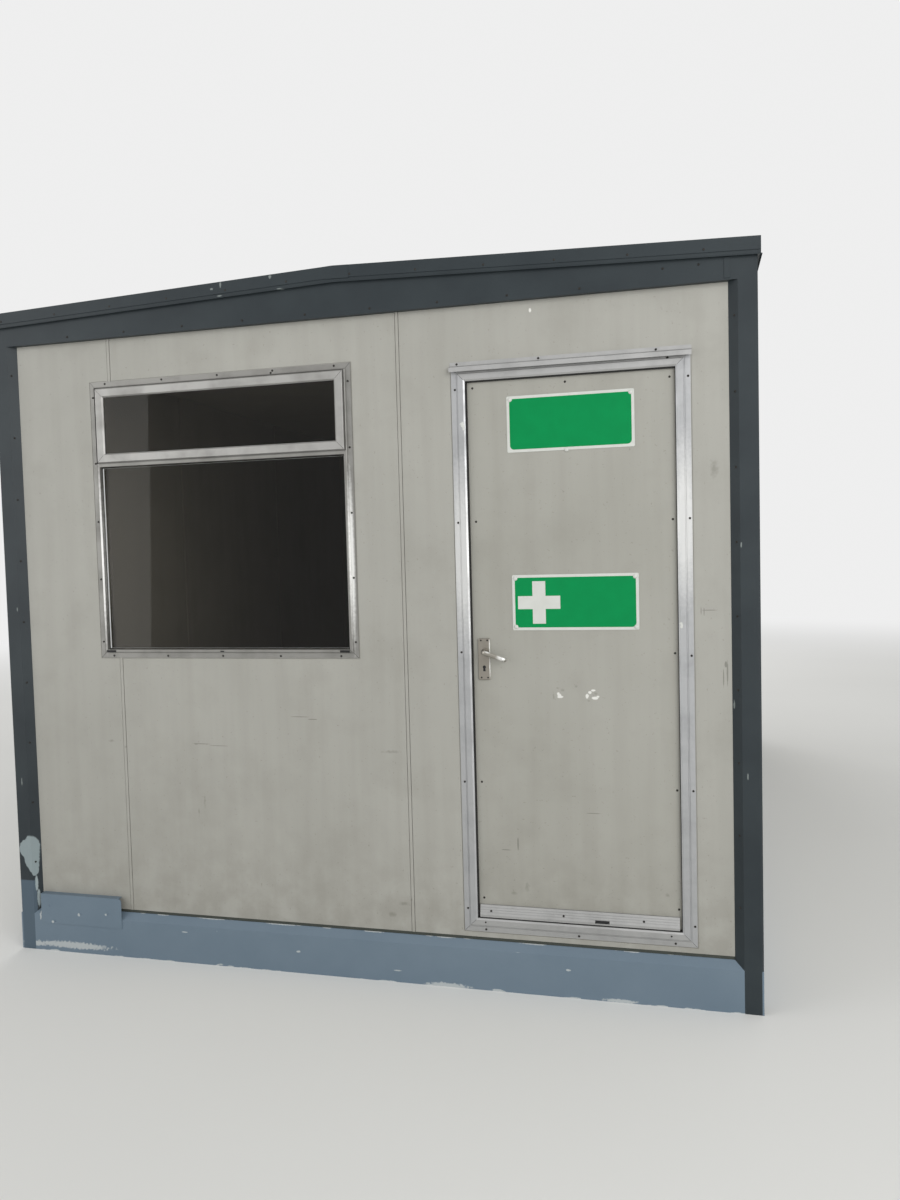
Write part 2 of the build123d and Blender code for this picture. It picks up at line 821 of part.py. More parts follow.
with BuildPart() as door_leaf:
    with BuildSketch(leaf_face):
        with Locations(door_middle):
            Rectangle(leaf_width, leaf_height)
    extrude(amount=-leaf_thickness)
    chamfer(door_leaf.edges().filter_by(Axis.Z), leaf_corner)
    with BuildSketch(leaf_face):
        with Locations((handle_across, handle_up)):
            Circle(spindle_hole_radius)
        keyhole_outline()
    extrude(amount=-leaf_thickness, mode=Mode.SUBTRACT)
save(door_leaf.part, "door_leaf")

# Weather bar along the foot of the leaf
with BuildPart() as door_weather_bar:
    with BuildSketch(Plane(
        leaf_face.from_local_coords(Vector(door_right - weather_bar_inset, weather_bar_foot)),
        x_dir=(0, -1, 0),
        z_dir=(-1, 0, 0),
    )):
        Polygon(
            (0, 0),
            (0, weather_bar_height),
            (weather_bar_flat, weather_bar_height),
            (weather_bar_proud, weather_bar_nose),
            (weather_bar_proud, 0),
            align=None,
        )
        with Locations((weather_bar_proud - drip_groove, 0)):
            Rectangle(drip_groove, drip_groove, align=(Align.MAX, Align.MIN), mode=Mode.SUBTRACT)
        for line in range(1, weather_bar_lines + 1):
            share = line / (weather_bar_lines + 1)
            with Locations((
                weather_bar_flat + share * (weather_bar_proud - weather_bar_flat),
                weather_bar_height + share * (weather_bar_nose - weather_bar_height),
            )):
                Circle(weather_bar_line_radius, mode=Mode.SUBTRACT)
    extrude(amount=door_frame_width - 2 * weather_bar_inset)
save(door_weather_bar.part, "door_weather_bar")

# Handle plates on both faces of the leaf, each with a raised collar round the neck of the lever
leaf_inside = Plane(
    front_wall.from_local_coords(Vector(0, 0, -leaf_front - leaf_thickness)),
    x_dir=(1, 0, 0),
    z_dir=(0, 1, 0),
)
for name, face, sign in (("handle_plate_outside", leaf_face, 1), ("handle_plate_inside", leaf_inside, -1)):
    with BuildPart() as handle_plate:
        with BuildSketch(face):
            with Locations((handle_across, sign * (handle_up + plate_above_spindle - plate_height / 2))):
                RectangleRounded(plate_width, plate_height, plate_corner)
        extrude(amount=plate_thickness)
        fillet(handle_plate.faces().sort_by(Axis.Y)[0 if sign > 0 else -1].edges(), plate_edge)
        with BuildSketch(face.offset(plate_thickness)):
            with Locations((handle_across, sign * handle_up)):
                Circle(collar_radius)
        extrude(amount=collar_height)
        with BuildSketch(face):
            with Locations((handle_across, sign * handle_up)):
                Circle(neck_radius + neck_slack)
            with Locations((handle_across, sign * (handle_up - keyhole_drop))):
                Circle(keyhole_radius)
                Rectangle(
                    keyhole_slot_width,
                    keyhole_slot_drop,
                    align=(Align.CENTER, Align.MAX if sign > 0 else Align.MIN),
                )
        extrude(amount=plate_thickness + collar_height, mode=Mode.SUBTRACT)
    save(handle_plate.part, name)

# Levers inside and outside on one square spindle. Each is swept from a round neck, through the bend
# into a flat oval arm that droops, and round the last bend to a short return at its tip.
spindle_centre = front_wall.from_local_coords(Vector(handle_across, handle_up, 0))
droop = radians(lever_droop)
lever_direction = Vector(cos(droop), 0, -sin(droop))
spindle_plane = Plane(spindle_centre, x_dir=lever_direction, z_dir=(0, -1, 0))
lever_stand = plate_thickness + neck_length - collar_slack - lever_thickness / 2
bend_end = lever_stand - lever_bend + lever_bend * pi / 2
lever_sides = {
    Vector(0, -1, 0): spindle_plane.offset(collar_slack - leaf_front).origin,
    Vector(0, 1, 0): spindle_plane.offset(-leaf_front - leaf_thickness - collar_slack).origin,
}
with BuildPart() as door_lever:
    with BuildSketch(spindle_plane.offset(-leaf_front - leaf_thickness - collar_slack)):
        Rectangle(spindle_size, spindle_size)
    extrude(amount=leaf_thickness + 2 * collar_slack)
    for outward, foot in lever_sides.items():
        across = lever_direction.cross(outward)
        with BuildLine():
            middle_line = FilletPolyline(
                foot,
                foot + outward * lever_stand,
                foot + outward * lever_stand + lever_direction * lever_reach,
                foot + outward * (lever_stand - lever_return) + lever_direction * lever_reach,
                radius=lever_bend,
            )
        with BuildSketch(Plane(foot, x_dir=across, z_dir=outward)):
            Circle(neck_radius)
        arm_start = middle_line @ (bend_end / middle_line.length)
        with BuildSketch(Plane(arm_start, x_dir=across, z_dir=lever_direction)):
            Ellipse(lever_width / 2, lever_thickness / 2)
        with BuildSketch(Plane(middle_line @ 1, x_dir=across, z_dir=-outward)):
            Ellipse(lever_tip_width / 2, lever_thickness / 2)
        sweep(path=middle_line, multisection=True)
save(door_lever.part, "door_lever")

# Lift-off hinges: pins and lower knuckles on the frame, upper knuckles on the leaf
pin_across = door_right - (door_liner_inset + door_liner + leaf_inset) / 2
pin_depth = leaf_front + leaf_thickness + hinge_pin_inset
liner_face = door_right - door_liner_inset - door_liner
leaf_edge = door_right - leaf_inset
knuckle_length = (hinge_length - hinge_split_gap) / 2
hinge_spacing = (door_frame_height - 2 * hinge_end_inset - hinge_length) / (hinge_count - 1)


def hinge_planes(rise):
    """Level planes on the pin's axis, one for each hinge, with X to the right and Y into the cabin."""
    feet = [door_foot + hinge_end_inset + step * hinge_spacing for step in range(hinge_count)]
    return [
        Plane(
            front_wall.from_local_coords(Vector(pin_across, foot + rise, -pin_depth)),
            x_dir=(1, 0, 0),
            z_dir=(0, 0, 1),
        )
        for foot in feet
    ]


plate_end = -hinge_plate_depth
plate_start = -knuckle_radius - hinge_pin_slack
with BuildPart() as hinges_frame:
    with BuildSketch(*hinge_planes(0)):
        with Locations((liner_face - pin_across - hinge_plate, plate_end)):
            Rectangle(hinge_plate, plate_start - plate_end, align=(Align.MIN, Align.MIN))
    extrude(amount=hinge_length)
    with BuildSketch(*hinge_planes(0)):
        Circle(knuckle_radius)
        with Locations((liner_face - pin_across - hinge_plate, plate_start)):
            Rectangle(hinge_plate, -plate_start, align=(Align.MIN, Align.MIN))
    extrude(amount=knuckle_length)
    with BuildSketch(*hinge_planes(knuckle_length)):
        Circle(hinge_pin_radius)
    extrude(amount=knuckle_length)
save(hinges_frame.part, "hinges_frame")

with BuildPart() as hinges_leaf:
    with BuildSketch(*hinge_planes(0)):
        with Locations((leaf_edge - pin_across, plate_end)):
            Rectangle(hinge_plate, plate_start - plate_end, align=(Align.MIN, Align.MIN))
    extrude(amount=hinge_length)
    with BuildSketch(*hinge_planes(knuckle_length + hinge_split_gap)):
        Circle(knuckle_radius)
        with Locations((leaf_edge - pin_across, plate_start)):
            Rectangle(hinge_plate, -plate_start, align=(Align.MIN, Align.MIN))
        Circle(hinge_pin_radius + hinge_pin_slack, mode=Mode.SUBTRACT)
    extrude(amount=knuckle_length)
save(hinges_leaf.part, "hinges_leaf")

# Plate over the left foot of the front wall: its face on the rail, its top turned back to the panel
with BuildPart() as foot_plate:
    plate_middle = (foot_plate_left + foot_plate_right) / 2
    with BuildSketch(front_wall.offset(frame_proud)):
        with Locations((plate_middle, (foot_plate_bottom + foot_plate_top) / 2)):
            Rectangle(foot_plate_right - foot_plate_left, foot_plate_top - foot_plate_bottom)
    extrude(amount=foot_plate_thickness)
    with BuildSketch(front_wall):
        with Locations((foot_plate_left, foot_plate_top)):
            Rectangle(
                foot_plate_right - foot_plate_left - foot_plate_corner,
                foot_plate_thickness,
                align=(Align.MIN, Align.MAX),
            )
    extrude(amount=frame_proud)
    top_right = foot_plate.edges().filter_by(Axis.Y).group_by(Axis.Z)[-1].sort_by(Axis.X)[-1]
    fillet(top_right, foot_plate_corner)
save(foot_plate.part, "foot_plate")
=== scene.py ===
# %% [markdown]
# # A portable site cabin, dressed around its frame
# The cabin is a steel frame filled with flat insulated panels. A wide window and a flush door sit
# in its front. Its construction comes packed, in metres, with the origin on the ground under the
# middle of the base. This lesson loads it, gives every part a finish made of nodes, and models the
# small things that construction drawings leave out: screws, seals, signs and covers.

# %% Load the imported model
import json
from math import atan2, cos, pi, radians, sin

import bmesh
import bpy
from mathutils import Matrix, Vector


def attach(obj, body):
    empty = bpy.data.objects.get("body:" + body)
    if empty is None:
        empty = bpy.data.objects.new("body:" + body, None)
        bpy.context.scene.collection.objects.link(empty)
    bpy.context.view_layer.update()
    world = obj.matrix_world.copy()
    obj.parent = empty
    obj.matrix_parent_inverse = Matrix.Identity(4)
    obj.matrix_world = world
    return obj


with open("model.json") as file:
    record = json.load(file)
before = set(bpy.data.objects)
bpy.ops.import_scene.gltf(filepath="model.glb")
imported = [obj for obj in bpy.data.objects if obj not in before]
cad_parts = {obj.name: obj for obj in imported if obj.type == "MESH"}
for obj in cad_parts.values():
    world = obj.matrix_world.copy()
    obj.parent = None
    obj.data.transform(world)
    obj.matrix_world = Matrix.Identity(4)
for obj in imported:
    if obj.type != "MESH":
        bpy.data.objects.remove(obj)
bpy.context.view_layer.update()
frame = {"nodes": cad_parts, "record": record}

# %% [markdown]
# The front wall is easiest to measure on its own face: millimetres to the right from the left end
# of the panels, millimetres up from their feet, and millimetres out of the face. One small function
# turns such a place into metres in the shared frame, so that every later cell can use plain
# workshop numbers.

# %% Places on the front wall
MM = 0.001
PANEL_FACE = -2475.0
PANEL_LEFT = -1394.5
PANEL_FOOT = 190.0
OUTWARD = Vector((0, -1, 0))
INWARD = Vector((0, 1, 0))


def on_front(across, up, out=0.0):
    """A place on the front wall, given in millimetres, as a point of the frame in metres."""
    return Vector((PANEL_LEFT + across, PANEL_FACE - out, PANEL_FOOT + up)) * MM


print("left foot of the panels", on_front(0, 0))

# %% [markdown]
# The camera comes next, because a cabin is judged from where it was photographed: a little right
# of the middle, at eye height, with a wide lens and a slight roll. Two turns about the upright and
# level axes aim it, and the roll comes last.

# %% Camera
LENS = 27.9
EYE = Vector((1.2438, -5.7812, 1.6208))
TURN_LEFT = radians(14.24)
TILT_DOWN = radians(2.94)
ROLL = radians(1.5)

forward = Vector((-sin(TURN_LEFT) * cos(TILT_DOWN), cos(TURN_LEFT) * cos(TILT_DOWN), -sin(TILT_DOWN)))
level_right = Vector((cos(TURN_LEFT), sin(TURN_LEFT), 0))
level_down = forward.cross(level_right)
picture_right = level_right * cos(ROLL) + level_down * sin(ROLL)
picture_down = level_down * cos(ROLL) - level_right * sin(ROLL)
lens_data = bpy.data.cameras.new("front_camera")
lens_data.lens = LENS
lens_data.sensor_fit = "AUTO"
lens_data.sensor_width = 36
lens_data.clip_end = 200
camera = bpy.data.objects.new("front_camera", lens_data)
turned = Matrix((picture_right, -picture_down, -forward)).transposed().to_4x4()
camera.matrix_world = Matrix.Translation(EYE) @ turned
bpy.context.scene.collection.objects.link(camera)
bpy.context.scene.camera = camera
print("camera at", tuple(round(v, 3) for v in camera.location))

# %% [markdown]
# Light: a plain studio. A pale world lights everything from all round, and three large soft lamps
# give the faces a direction. Rays from the camera, and rays that metal and glass send out, see a
# white surround, so that they have something clean to show.

# %% World and lamps
SURROUND = (0.86, 0.86, 0.86, 1)
SKY_STRENGTH = 0.62

world = bpy.data.worlds.new("studio")
bpy.context.scene.world = world
world.use_nodes = True
world.node_tree.nodes.clear()


def add(tree, kind, inputs=None, **settings):
    """Add one node: its settings by name, then its sockets by name or number, each a value or a link."""
    made = tree.nodes.new(kind)
    for name, value in settings.items():
        setattr(made, name, value)
    for key, value in (inputs or {}).items():
        if isinstance(value, bpy.types.NodeSocket):
            tree.links.new(value, made.inputs[key])
        else:
            made.inputs[key].default_value = value
    return made


sky = world.node_tree
rays = add(sky, "ShaderNodeLightPath")
seen_or_mirrored = add(sky, "ShaderNodeMath", {
    0: rays.outputs["Is Camera Ray"], 1: rays.outputs["Is Glossy Ray"]}, operation="MAXIMUM")
clear_view = add(sky, "ShaderNodeMath", {
    0: seen_or_mirrored.outputs[0], 1: rays.outputs["Is Transmission Ray"]}, operation="MAXIMUM")
soft_light = add(sky, "ShaderNodeBackground", {"Color": (1, 1, 1, 1), "Strength": SKY_STRENGTH})
surround = add(sky, "ShaderNodeBackground", {"Color": SURROUND, "Strength": 1.0})
both = add(sky, "ShaderNodeMixShader", {
    0: clear_view.outputs[0], 1: soft_light.outputs[0], 2: surround.outputs[0]})
add(sky, "ShaderNodeOutputWorld", {"Surface": both.outputs[0]})

LAMPS = {
    "key_lamp": ((5.5, -8.0, 3.6), 5.0, 340),
    "fill_lamp": ((-6.5, -7.0, 3.0), 5.0, 120),
    "back_lamp": ((-3.0, 9.0, 6.0), 6.0, 300),
}
LAMP_TARGET = Vector((0, 0, 1.2))
for name, (place, size, power) in LAMPS.items():
    lamp = bpy.data.lights.new(name, "AREA")
    lamp.size = size
    lamp.energy = power
    holder = bpy.data.objects.new(name, lamp)
    aim = LAMP_TARGET - Vector(place)
    holder.location = place
    holder.rotation_euler = aim.to_track_quat("-Z", "Y").to_euler()
    bpy.context.scene.collection.objects.link(holder)
    print(name, power, "W")

bpy.context.scene.view_settings.view_transform = "Standard"

# %% [markdown]
# Finishes. A colour is written as it would be read off a paint card, in sRGB, and one function
# turns it into the linear values that shaders add up. Pattern sizes are given in millimetres: a
# noise whose features should be 400 mm across has a scale of 1000 / 400, because materials read
# the object's own metres.

# %% Colour and pattern helpers


def paint(card):
    """An sRGB hex colour as linear red, green, blue and full alpha."""
    def channel(part):
        value = int(part, 16) / 255
        return value / 12.92 if value <= 0.04045 else ((value + 0.055) / 1.055) ** 2.4

    return tuple(channel(card[i:i + 2]) for i in (0, 2, 4)) + (1.0,)


def new_finish(name):
    """An empty material, its node tree, and the object's own coordinates in metres."""
    finish = bpy.data.materials.new(name)
    finish.use_nodes = True
    finish.node_tree.nodes.clear()
    return finish, finish.node_tree, add(finish.node_tree, "ShaderNodeTexCoord").outputs["Object"]


def patches(tree, place, size, low, high, detail, stretch=(1, 1, 1), shift=0.0):
    """A soft random mask from 0 to 1, with patches of the given size in millimetres."""
    moved = add(tree, "ShaderNodeMapping", {
        "Vector": place, "Location": (shift, shift * 0.7, shift * 1.3), "Scale": stretch})
    noise = add(tree, "ShaderNodeTexNoise", {
        "Vector": moved.outputs[0], "Scale": 1000 / size, "Detail": detail, "Roughness": 0.55})
    return add(tree, "ShaderNodeMapRange", {
        "Value": noise.outputs[0], "From Min": low, "From Max": high}).outputs[0]


def blend(tree, mask, first, second, share):
    """A colour that goes from the first to the second by a mask, at most by the given share."""
    part = add(tree, "ShaderNodeMath", {0: mask, 1: share}, operation="MULTIPLY").outputs[0]
    return add(tree, "ShaderNodeMix", {0: part, 6: first, 7: second}, data_type="RGBA").outputs[2]


def both_masks(tree, one, other, operation="MULTIPLY"):
    return add(tree, "ShaderNodeMath", {0: one, 1: other}, operation=operation).outputs[0]


def height_band(tree, place, start, end):
    """A mask that is 1 at height start and fades to 0 at height end, both in millimetres."""
    axes = add(tree, "ShaderNodeSeparateXYZ", {0: place})
    return add(tree, "ShaderNodeMapRange", {
        "Value": axes.outputs[2], "From Min": end * MM, "From Max": start * MM}).outputs[0]


def marks(tree, place, spots, ragged=0.5, soft=0.3):
    """A mask of ragged oval marks: each spot is a place on the front wall and its two half sizes."""
    total = None
    noise = add(tree, "ShaderNodeTexNoise", {"Vector": place, "Scale": 90.0, "Detail": 3.0})
    for across, up, half_across, half_up in spots:
        middle = on_front(across, up)
        offset = add(tree, "ShaderNodeVectorMath", {0: place, 1: middle}, operation="SUBTRACT")
        shape = (1000 / half_across, 4.0, 1000 / half_up)
        scaled = add(tree, "ShaderNodeVectorMath", {
            0: offset.outputs[0], 1: shape}, operation="MULTIPLY")
        reach = add(tree, "ShaderNodeVectorMath", {0: scaled.outputs[0]}, operation="LENGTH")
        rough = add(tree, "ShaderNodeMath", {
            0: noise.outputs[0], 1: 2 * ragged, 2: reach.outputs["Value"]}, operation="MULTIPLY_ADD")
        spot = add(tree, "ShaderNodeMapRange", {
            "Value": rough.outputs[0],
            "From Min": 1.0 + ragged, "From Max": 1.0 + ragged - soft}).outputs[0]
        total = spot if total is None else both_masks(tree, total, spot, "MAXIMUM")
    return total


def edge_wear(tree, place, level, reach, low):
    """A crisp ragged mask of chips that crowd round a level edge, all in millimetres but low."""
    above = height_band(tree, place, level, level + reach)
    below = height_band(tree, place, level, level - reach)
    ragged = patches(tree, place, 30, 0, 1, detail=9.0, stretch=(0.35, 0.35, 1), shift=level * 0.01)
    crowd = add(tree, "ShaderNodeMath", {
        0: both_masks(tree, above, below), 1: 0.3, 2: ragged}, operation="MULTIPLY_ADD").outputs[0]
    return add(tree, "ShaderNodeMapRange", {
        "Value": crowd, "From Min": low, "From Max": low + 0.02}).outputs[0]


def bump(tree, height, distance, strength):
    """A bump from a height mask, with its depth in millimetres."""
    return add(tree, "ShaderNodeBump", {
        "Height": height, "Distance": distance * MM, "Strength": strength}).outputs[0]


def finish_surface(tree, values):
    """A principled surface with the given sockets, joined to the material's output."""
    surface = add(tree, "ShaderNodeBsdfPrincipled", values)
    add(tree, "ShaderNodeOutputMaterial", {"Surface": surface.outputs[0]})
    return surface


print("card grey is", [round(v, 3) for v in paint("A6A49B")])

# %% [markdown]
# The wall panels are steel sheet with a baked plastic coating in a warm light grey. The eye gets a
# dull even colour from it, a faint orange-peel skin, and years of dust: broad pale and dark clouds,
# streaks where rain and hands ran down, and grime near the foot. The peel of the real coating is
# about 1 mm across and is drawn at 4 mm so that it shows at all.

# %% Coated steel of the walls and the door
WALL_SCRATCHES = [
    (765, 696, 44, 1.8), (842, 690, 46, 1.5), (741, 695, 9, 2.8), (1190, 812, 44, 1.8),
    (1243, 803, 20, 2.2), (2717, 1209, 29, 1.8), (2689, 1207, 1.8, 16), (2699, 1204, 1.8, 15),
    (2774, 991, 3, 46), (2761, 975, 2.5, 36), (2769, 1022, 5, 12),
]
WALL_SMUDGES = [
    (359, 698, 15, 7), (769, 467, 6, 28), (742, 421, 5, 18), (1561, 685, 48, 7), (1542, 62, 20, 13),
    (1590, 105, 26, 10), (2737, 1693, 16, 36), (2739, 1686, 18, 22), (423, 675, 7, 6), (1618, 122, 7, 7),
]
WALL_CHIPS = [(2118, 2276, 5, 8), (2795, 886, 2.5, 16)]
DOOR_SCRATCHES = [(2030, 355, 3, 30), (1985, 330, 20, 2), (2310, 480, 30, 1.8)]
DOOR_SMUDGES = [
    (2563, 196, 8, 9), (2060, 195, 10, 20), (2010, 170, 12, 8), (2206, 925, 9, 7), (2254, 939, 8, 6),
    (2322, 914, 8, 7), (2297, 888, 9, 5), (2172, 903, 4, 16), (2188, 933, 10, 5),
]
DOOR_CHIPS = [
    (2196, 901, 12, 5), (2189, 911, 6, 8), (2193, 906, 8, 7), (2293, 904, 6, 9), (2302, 918, 7, 6),
    (2315, 925, 9, 4), (2319, 898, 13, 6), (2331, 903, 6, 4),
]
SPLASH_TOP = 620


def coated_steel(name, card, dirt_card, pale_card, scratches=(), smudges=(), chips=()):
    finish, tree, place = new_finish(name)
    clouds = patches(tree, place, 620, 0.3, 0.7, detail=3.0)
    colour = blend(tree, clouds, paint(card), paint(pale_card), 0.55)
    streaks = patches(tree, place, 60, 0.42, 0.75, detail=5.0, stretch=(1, 1, 0.06), shift=3.1)
    colour = blend(tree, streaks, colour, paint(dirt_card), 0.16)
    blots = patches(tree, place, 190, 0.5, 0.72, detail=6.0, shift=7.7)
    colour = blend(tree, blots, colour, paint(dirt_card), 0.18)
    low = height_band(tree, place, PANEL_FOOT, SPLASH_TOP)
    splash = both_masks(tree, low, patches(tree, place, 75, 0.35, 0.62, detail=6.0, shift=1.9))
    colour = blend(tree, splash, colour, paint(dirt_card), 0.35)
    specks = patches(tree, place, 9, 0.68, 0.74, detail=2.0, shift=5.3)
    colour = blend(tree, specks, colour, paint("6E6B62"), 0.35)
    if smudges:
        colour = blend(tree, marks(tree, place, smudges, 0.8, 0.9), colour, paint("66665B"), 0.42)
    if scratches:
        colour = blend(tree, marks(tree, place, scratches, 0.3), colour, paint("62615A"), 0.6)
    if chips:
        colour = blend(tree, marks(tree, place, chips), colour, paint("DAD9D4"), 0.95)
    gloss = patches(tree, place, 160, 0.3, 0.7, detail=5.0, shift=9.2)
    dullness = add(tree, "ShaderNodeMapRange", {
        "Value": gloss, "To Min": 0.42, "To Max": 0.56}).outputs[0]
    peel = patches(tree, place, 4, 0.3, 0.7, detail=2.0)
    finish_surface(tree, {
        "Base Color": colour, "Roughness": dullness, "Specular IOR Level": 0.4,
        "Normal": bump(tree, peel, 0.02, 0.5)})
    return finish


wall_steel = coated_steel("plastisol_steel_wall", "9C9B94", "7B786E", "A8A7A0",
                          WALL_SCRATCHES, WALL_SMUDGES, WALL_CHIPS)
door_steel = coated_steel("plastisol_steel_door", "98978F", "78756B", "A4A39C",
                          DOOR_SCRATCHES, DOOR_SMUDGES, DOOR_CHIPS)
roof_steel = coated_steel("plastisol_steel_roof", "7F8380", "5F605C", "8D918E")
print("wall marks", len(WALL_SCRATCHES) + len(WALL_SMUDGES), "door chips", len(DOOR_CHIPS))

# %% [markdown]
# The posts and roof beams are brushed with a dark grey-green alkyd enamel. It levels to a soft
# shine, dust lies on it as a pale film, and small chips show the primer. Low on the left front post
# a large piece has come off down to the pale undercoat, and the foot below it has the base's blue.

# %% Enamel of the frame and of the base
BASE_CHIPS = [
    (784, -12, 62, 2.4), (1081, -12, 78, 2.8), (1464, -12, 46, 2.6), (560, -12, 30, 2.0),
    (1275, -12, 20, 2.0), (1745, -12, 40, 2.2), (2080, -12, 58, 2.4), (2440, -12, 30, 2.2),
    (1160, -105, 9, 5), (670, -65, 15, 2.5), (1563, -145, 18, 2.5), (2210, -88, 10, 4),
    (1760, -186, 92, 12), (150, -160, 190, 16), (-30, -165, 60, 12), (186, -28, 7, 7), (313, -19, 6, 6),
    (60, -66, 6, 6), (2395, -184, 70, 7), (0, -30, 5, 36),
]
POST_CHIPS = [
    (2795, 886, 3, 16), (2836, 640, 3, 14), (2822, 1430, 2.5, 10), (-60, 520, 3, 20), (-40, 1240, 3, 9),
]
TRIM_DROPS = [
    (905, 2454, 7, 5), (936, 2426, 12, 3), (942, 2467, 4, 12), (1147, 2476, 6, 7), (1184, 2430, 14, 3),
]
BARE_POST = [
    (-52, 236, 38, 40), (-34, 246, 32, 49), (-38, 218, 34, 52), (-36, 190, 30, 40), (-30, 168, 22, 34),
    (-23, 148, 13, 28),
]
POST_FILLER = [(-19, 88, 5, 38), (-14, 25, 6, 42)]
BLUE_FOOT = (-62, -190, 44, 3000)
BLUE_FOOT_TOP = 290


def brushed_enamel(name, card, dust_card, chip_card, brush_stretch, worn_edges, chip_spots,
                   left_foot=False):
    """An enamel with dust and chips; left_foot adds the damage at the foot of the left front post."""
    finish, tree, place = new_finish(name)
    dust = patches(tree, place, 260, 0.35, 0.75, detail=5.0, shift=2.4)
    colour = blend(tree, dust, paint(card), paint(dust_card), 0.5)
    chips = patches(tree, place, 26, 0.745, 0.76, detail=8.0, shift=6.1)
    for level, reach, low in worn_edges:
        chips = both_masks(tree, chips, edge_wear(tree, place, level, reach, low), "MAXIMUM")
    chips = both_masks(tree, chips, marks(tree, place, chip_spots, 0.7), "MAXIMUM")
    colour = blend(tree, chips, colour, paint(chip_card), 0.85)
    if left_foot:
        below = height_band(tree, place, BLUE_FOOT_TOP, BLUE_FOOT_TOP + 5)
        foot = both_masks(tree, marks(tree, place, [BLUE_FOOT], 0.1, 0.05), below)
        colour = blend(tree, foot, colour, paint("4E5D69"), 0.95)
        colour = blend(tree, marks(tree, place, BARE_POST, 0.15, 0.1), colour, paint("8A9698"), 0.95)
        colour = blend(tree, marks(tree, place, POST_FILLER, 0.3), colour, paint("9CA8AA"), 0.9)
    brush = patches(tree, place, 3.5, 0.3, 0.7, detail=3.0, stretch=brush_stretch)
    depth = both_masks(tree, brush, chips, "SUBTRACT")
    finish_surface(tree, {
        "Base Color": colour, "Roughness": 0.45, "Specular IOR Level": 0.28,
        "Normal": bump(tree, depth, 0.12, 0.6)})
    return finish


frame_enamel = brushed_enamel(
    "alkyd_enamel_frame", "262D31", "373F42", "7D8482", (1, 1, 0.08), [(0, 20, 0.84)],
    POST_CHIPS + TRIM_DROPS, left_foot=True)
base_enamel = brushed_enamel(
    "alkyd_enamel_base", "657582", "72818D", "B3B8B8", (0.05, 0.05, 1),
    [(178, 5, 0.9), (152, 5, 0.96), (0, 14, 0.8)], BASE_CHIPS)
print("enamels", frame_enamel.name, base_enamel.name)

# %% [markdown]
# Window and door frames are extruded aluminium, left as it comes from the mill. Years of weather
# have put a chalky oxide on it, so it is only partly a mirror: pale, soft-edged in its shine and
# clouded. Painted highlights halfway up the uprights of the window and of the door, on the lever and
# along the edge of its plate stand in for the shine of the light on them. Fine die lines run the way
# each bar was pushed. They are about 0.3 mm apart and are drawn at 1.2 mm.

# %% Metals


def bare_metal(name, card, stain_card, rough, line_stretch, line_size=1.2, upright=None,
               metallic=1.0, painted_highlights=(), shine=0.9):
    """A bare metal with stains and die lines.

    upright is the middle and the half width, in metres, past which the bars stand instead of lie.
    Its list of painted highlights gives the places lightened as a painted highlight, and shine says how
    bright, from 0 to 1.
    """
    finish, tree, place = new_finish(name)
    stains = patches(tree, place, 90, 0.42, 0.72, detail=6.0, shift=1.3)
    colour = blend(tree, stains, paint(card), paint(stain_card), 0.4)
    # Painted highlight: the listed places are lightened towards near-white EDEDEA, standing in for the
    # shine of the light on them.
    if painted_highlights:
        colour = blend(tree, marks(tree, place, painted_highlights, 0.2, 0.6), colour, paint("EDEDEA"), shine)
    dullness = add(tree, "ShaderNodeMapRange", {
        "Value": stains, "To Min": rough, "To Max": rough + 0.16}).outputs[0]
    lines = patches(tree, place, line_size, 0.3, 0.7, detail=2.0, stretch=line_stretch)
    if upright:
        axes = add(tree, "ShaderNodeSeparateXYZ", {0: place})
        aside = both_masks(tree, axes.outputs[0], upright[0], "SUBTRACT")
        outer = both_masks(tree, both_masks(tree, aside, 0.0, "ABSOLUTE"), upright[1], "GREATER_THAN")
        tall = patches(tree, place, line_size, 0.3, 0.7, detail=2.0, stretch=STANDING)
        lines = add(tree, "ShaderNodeMix", {0: outer, 2: lines, 3: tall}).outputs[0]
    finish_surface(tree, {
        "Base Color": colour, "Metallic": metallic, "Roughness": dullness,
        "Normal": bump(tree, lines, 0.03, 0.5)})
    return finish


LYING = (0.02, 1, 1)
STANDING = (1, 1, 0.02)
WINDOW_MIDDLE = on_front(887, 0).x
WINDOW_UPRIGHTS = 0.520
SASH_UPRIGHTS = 0.490
OXIDISED = 0.72
# Painted highlights, each (across, up, half across, half up) in millimetres on the front wall: the shine
# of the light on the window jambs, the door jambs, the lever and the edge of its plate.
JAMB_PAINTED_HIGHLIGHT = [(361, 1440, 9, 400), (1424, 1420, 13, 385)]
DOOR_PAINTED_HIGHLIGHT = [(1850, 1420, 50, 390), (2639, 1520, 50, 330)]
LEVER_PAINTED_HIGHLIGHT = [(1994, 1045, 26, 16), (1944, 1070, 17, 9)]
PLATE_PAINTED_HIGHLIGHT = [(1943, 1084, 4, 34), (1943, 1004, 4, 50)]
mill_lying = bare_metal("mill_finish_aluminium_lying", "ACACAB", "858584", 0.44, LYING, metallic=OXIDISED)
# The door jambs get painted highlights, the shine of the light on them.
mill_standing = bare_metal("mill_finish_aluminium_standing", "AEAFB0", "878889", 0.44, STANDING,
                           metallic=OXIDISED, painted_highlights=DOOR_PAINTED_HIGHLIGHT, shine=0.5)
